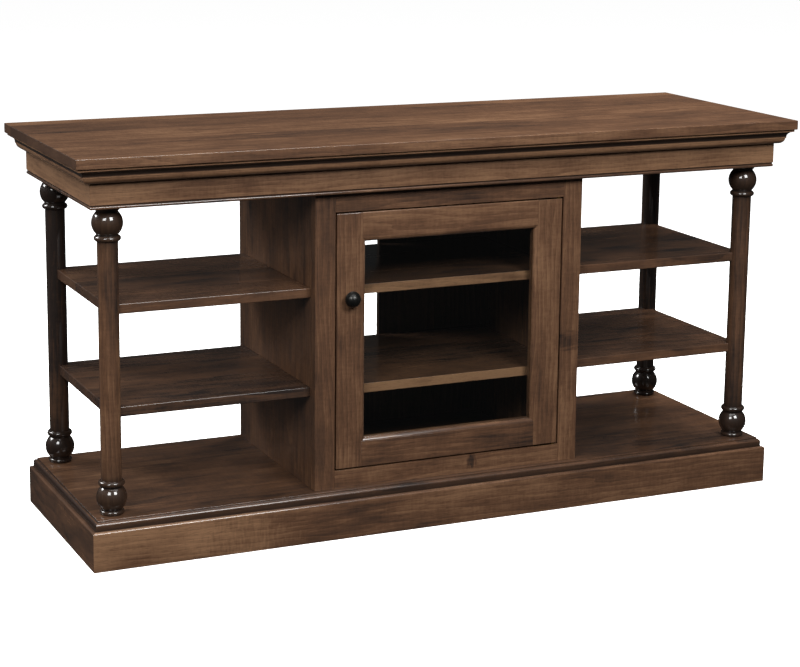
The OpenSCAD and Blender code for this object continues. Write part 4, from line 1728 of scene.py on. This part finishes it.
@dataclass
class Studio:
    """White floor, soft boxes and the camera.

    Attributes:
        eye: the camera's place, in metres.
        yaw: its turn from the Y axis towards the X axis, in radians.
        pitch: its downward tilt, in radians.
        roll: its turn round its own line of sight, in radians.
        focal: its focal length, in the unit of IMAGE_WIDTH.
        middle_row: height at which its line of sight meets the image, from the top.
        far: furthest distance that it sees, in metres.
        floor_reach: half the floor's side, in metres.
        floor_glow: strength of the floor's own light, which keeps it white.
        ambient: strength of the dim light from all round.
        lights: the soft lights.
    """

    eye: tuple[float, float, float] = (-1.7363, -3.7586, 1.3317)
    yaw: float = 0.4291
    pitch: float = 0.1954
    roll: float = 0.0109
    focal: float = 2069.7
    middle_row: float = 250.0
    far: float = 100.0
    floor_reach: float = 14.0
    floor_glow: float = 0.95
    ambient: float = 0.025
    lights: list[SoftBox] = field(default_factory=lambda: [
        SoftBox("front left box", (-2.9, -3.0, 2.95), (-0.2, 0, 0.4), (1.6, 1.6), 150),
        SoftBox("front right box", (0.55, -3.6, 3.0), (0, 0, 0.4), (1.6, 1.6), 194),
        SoftBox("top front box", (-0.1, -1.0, 2.5), (0, -0.1, 0.5), (2.2, 0.9), 22),
        SoftBox("left back box", (-2.9, 1.9, 2.6), (-0.4, 0, 0.4), (1.4, 1.4), 130),
        SoftBox("left low fill", (-3.2, 0.0, 0.9), (-0.6, 0, 0.6), (1.0, 1.0), 34, False),
        SoftBox("right back fill", (3.0, 1.4, 2.6), (0.4, 0, 0.4), (1.0, 1.0), 30, False),
        SoftBox("top fill", (1.2, 0.4, 2.7), (0.7, 0.1, 0.5), (1.8, 1.0), 112, False),
    ])

    def camera(self) -> None:
        """Places the camera: forward from its yaw and pitch, then rolled round that line."""
        forward = np.array([math.sin(self.yaw) * math.cos(self.pitch),
                            math.cos(self.yaw) * math.cos(self.pitch), -math.sin(self.pitch)])
        right = np.array([math.cos(self.yaw), -math.sin(self.yaw), 0.0])
        up = np.cross(right, forward)
        rolled = right * math.cos(self.roll) + up * math.sin(self.roll)
        above = up * math.cos(self.roll) - right * math.sin(self.roll)
        lens = bpy.data.cameras.new("camera")
        lens.sensor_fit = "HORIZONTAL"
        lens.sensor_width = SENSOR_WIDTH
        lens.lens = SENSOR_WIDTH * self.focal / IMAGE_WIDTH
        lens.shift_y = (self.middle_row - IMAGE_HEIGHT / 2) / IMAGE_WIDTH
        lens.clip_end = self.far
        eye = bpy.data.objects.new("camera", lens)
        bpy.context.scene.collection.objects.link(eye)
        place = Matrix(np.stack([rolled, above, -forward], axis=1).tolist()).to_4x4()
        place.translation = self.eye
        eye.matrix_world = place
        bpy.context.scene.camera = eye

    def floor(self) -> None:
        """Lays a pale floor that takes the cabinet's soft shadow."""
        reach = self.floor_reach
        mesh = bpy.data.meshes.new("studio_floor")
        mesh.from_pydata([(-reach, -reach, 0), (reach, -reach, 0), (reach, reach, 0),
                          (-reach, reach, 0)], [], [[0, 1, 2, 3]])
        floor = bpy.data.objects.new("studio_floor", mesh)
        bpy.context.scene.collection.objects.link(floor)
        made, tree = fresh_material("matt white paper")
        place = add(tree, "ShaderNodeTexCoord").outputs["Object"]
        fibre = add(tree, "ShaderNodeTexNoise", {
            "Vector": place, "Scale": 1 / (40 * MM), "Detail": 3.0}).outputs[0]
        shade = add(tree, "ShaderNodeMapRange", {
            "Value": fibre, "To Min": 0.80, "To Max": 0.84}).outputs[0]
        shader = add(tree, "ShaderNodeBsdfPrincipled", {
            "Base Color": shade, "Roughness": 0.9, "Specular IOR Level": 0.0,
            "Emission Color": WHITE, "Emission Strength": self.floor_glow})
        add(tree, "ShaderNodeOutputMaterial", {"Surface": shader.outputs[0]})
        mesh.materials.append(made)
        # The paper shows and takes shadows but isn't mirrored in the lacquer
        floor.visible_glossy = False
        floor.visible_diffuse = False

    def world(self) -> None:
        """Makes a white surround for the eye that lights the cabinet only dimly."""
        scene = bpy.context.scene
        scene.world = bpy.data.worlds.new("white surround")
        scene.world.use_nodes = True
        tree = scene.world.node_tree
        tree.nodes.clear()
        seen = add(tree, "ShaderNodeLightPath").outputs["Is Camera Ray"]
        strength = add(tree, "ShaderNodeMapRange", {
            "Value": seen, "To Min": self.ambient, "To Max": 1.0}).outputs[0]
        glow = add(tree, "ShaderNodeBackground", {
            "Color": WHITE, "Strength": strength}).outputs[0]
        add(tree, "ShaderNodeOutputWorld", {"Surface": glow})
        scene.view_settings.view_transform = "Standard"

    def build(self) -> None:
        """Sets up the studio."""
        self.camera()
        self.floor()
        self.world()
        for light in self.lights:
            light.build()


def main() -> None:
    """Builds the studio and then every sub-assembly in order."""
    logging.basicConfig(level=logging.INFO, format="%(name)s: %(message)s")
    for part in (Studio(), TopFrame(), Posts(), Shelves(), CentreCase(), Door(), Base(),
                 Hardware()):
        part.build()
        LOG.info("%s built", type(part).__name__)


if __name__ == "__main__":
    main()
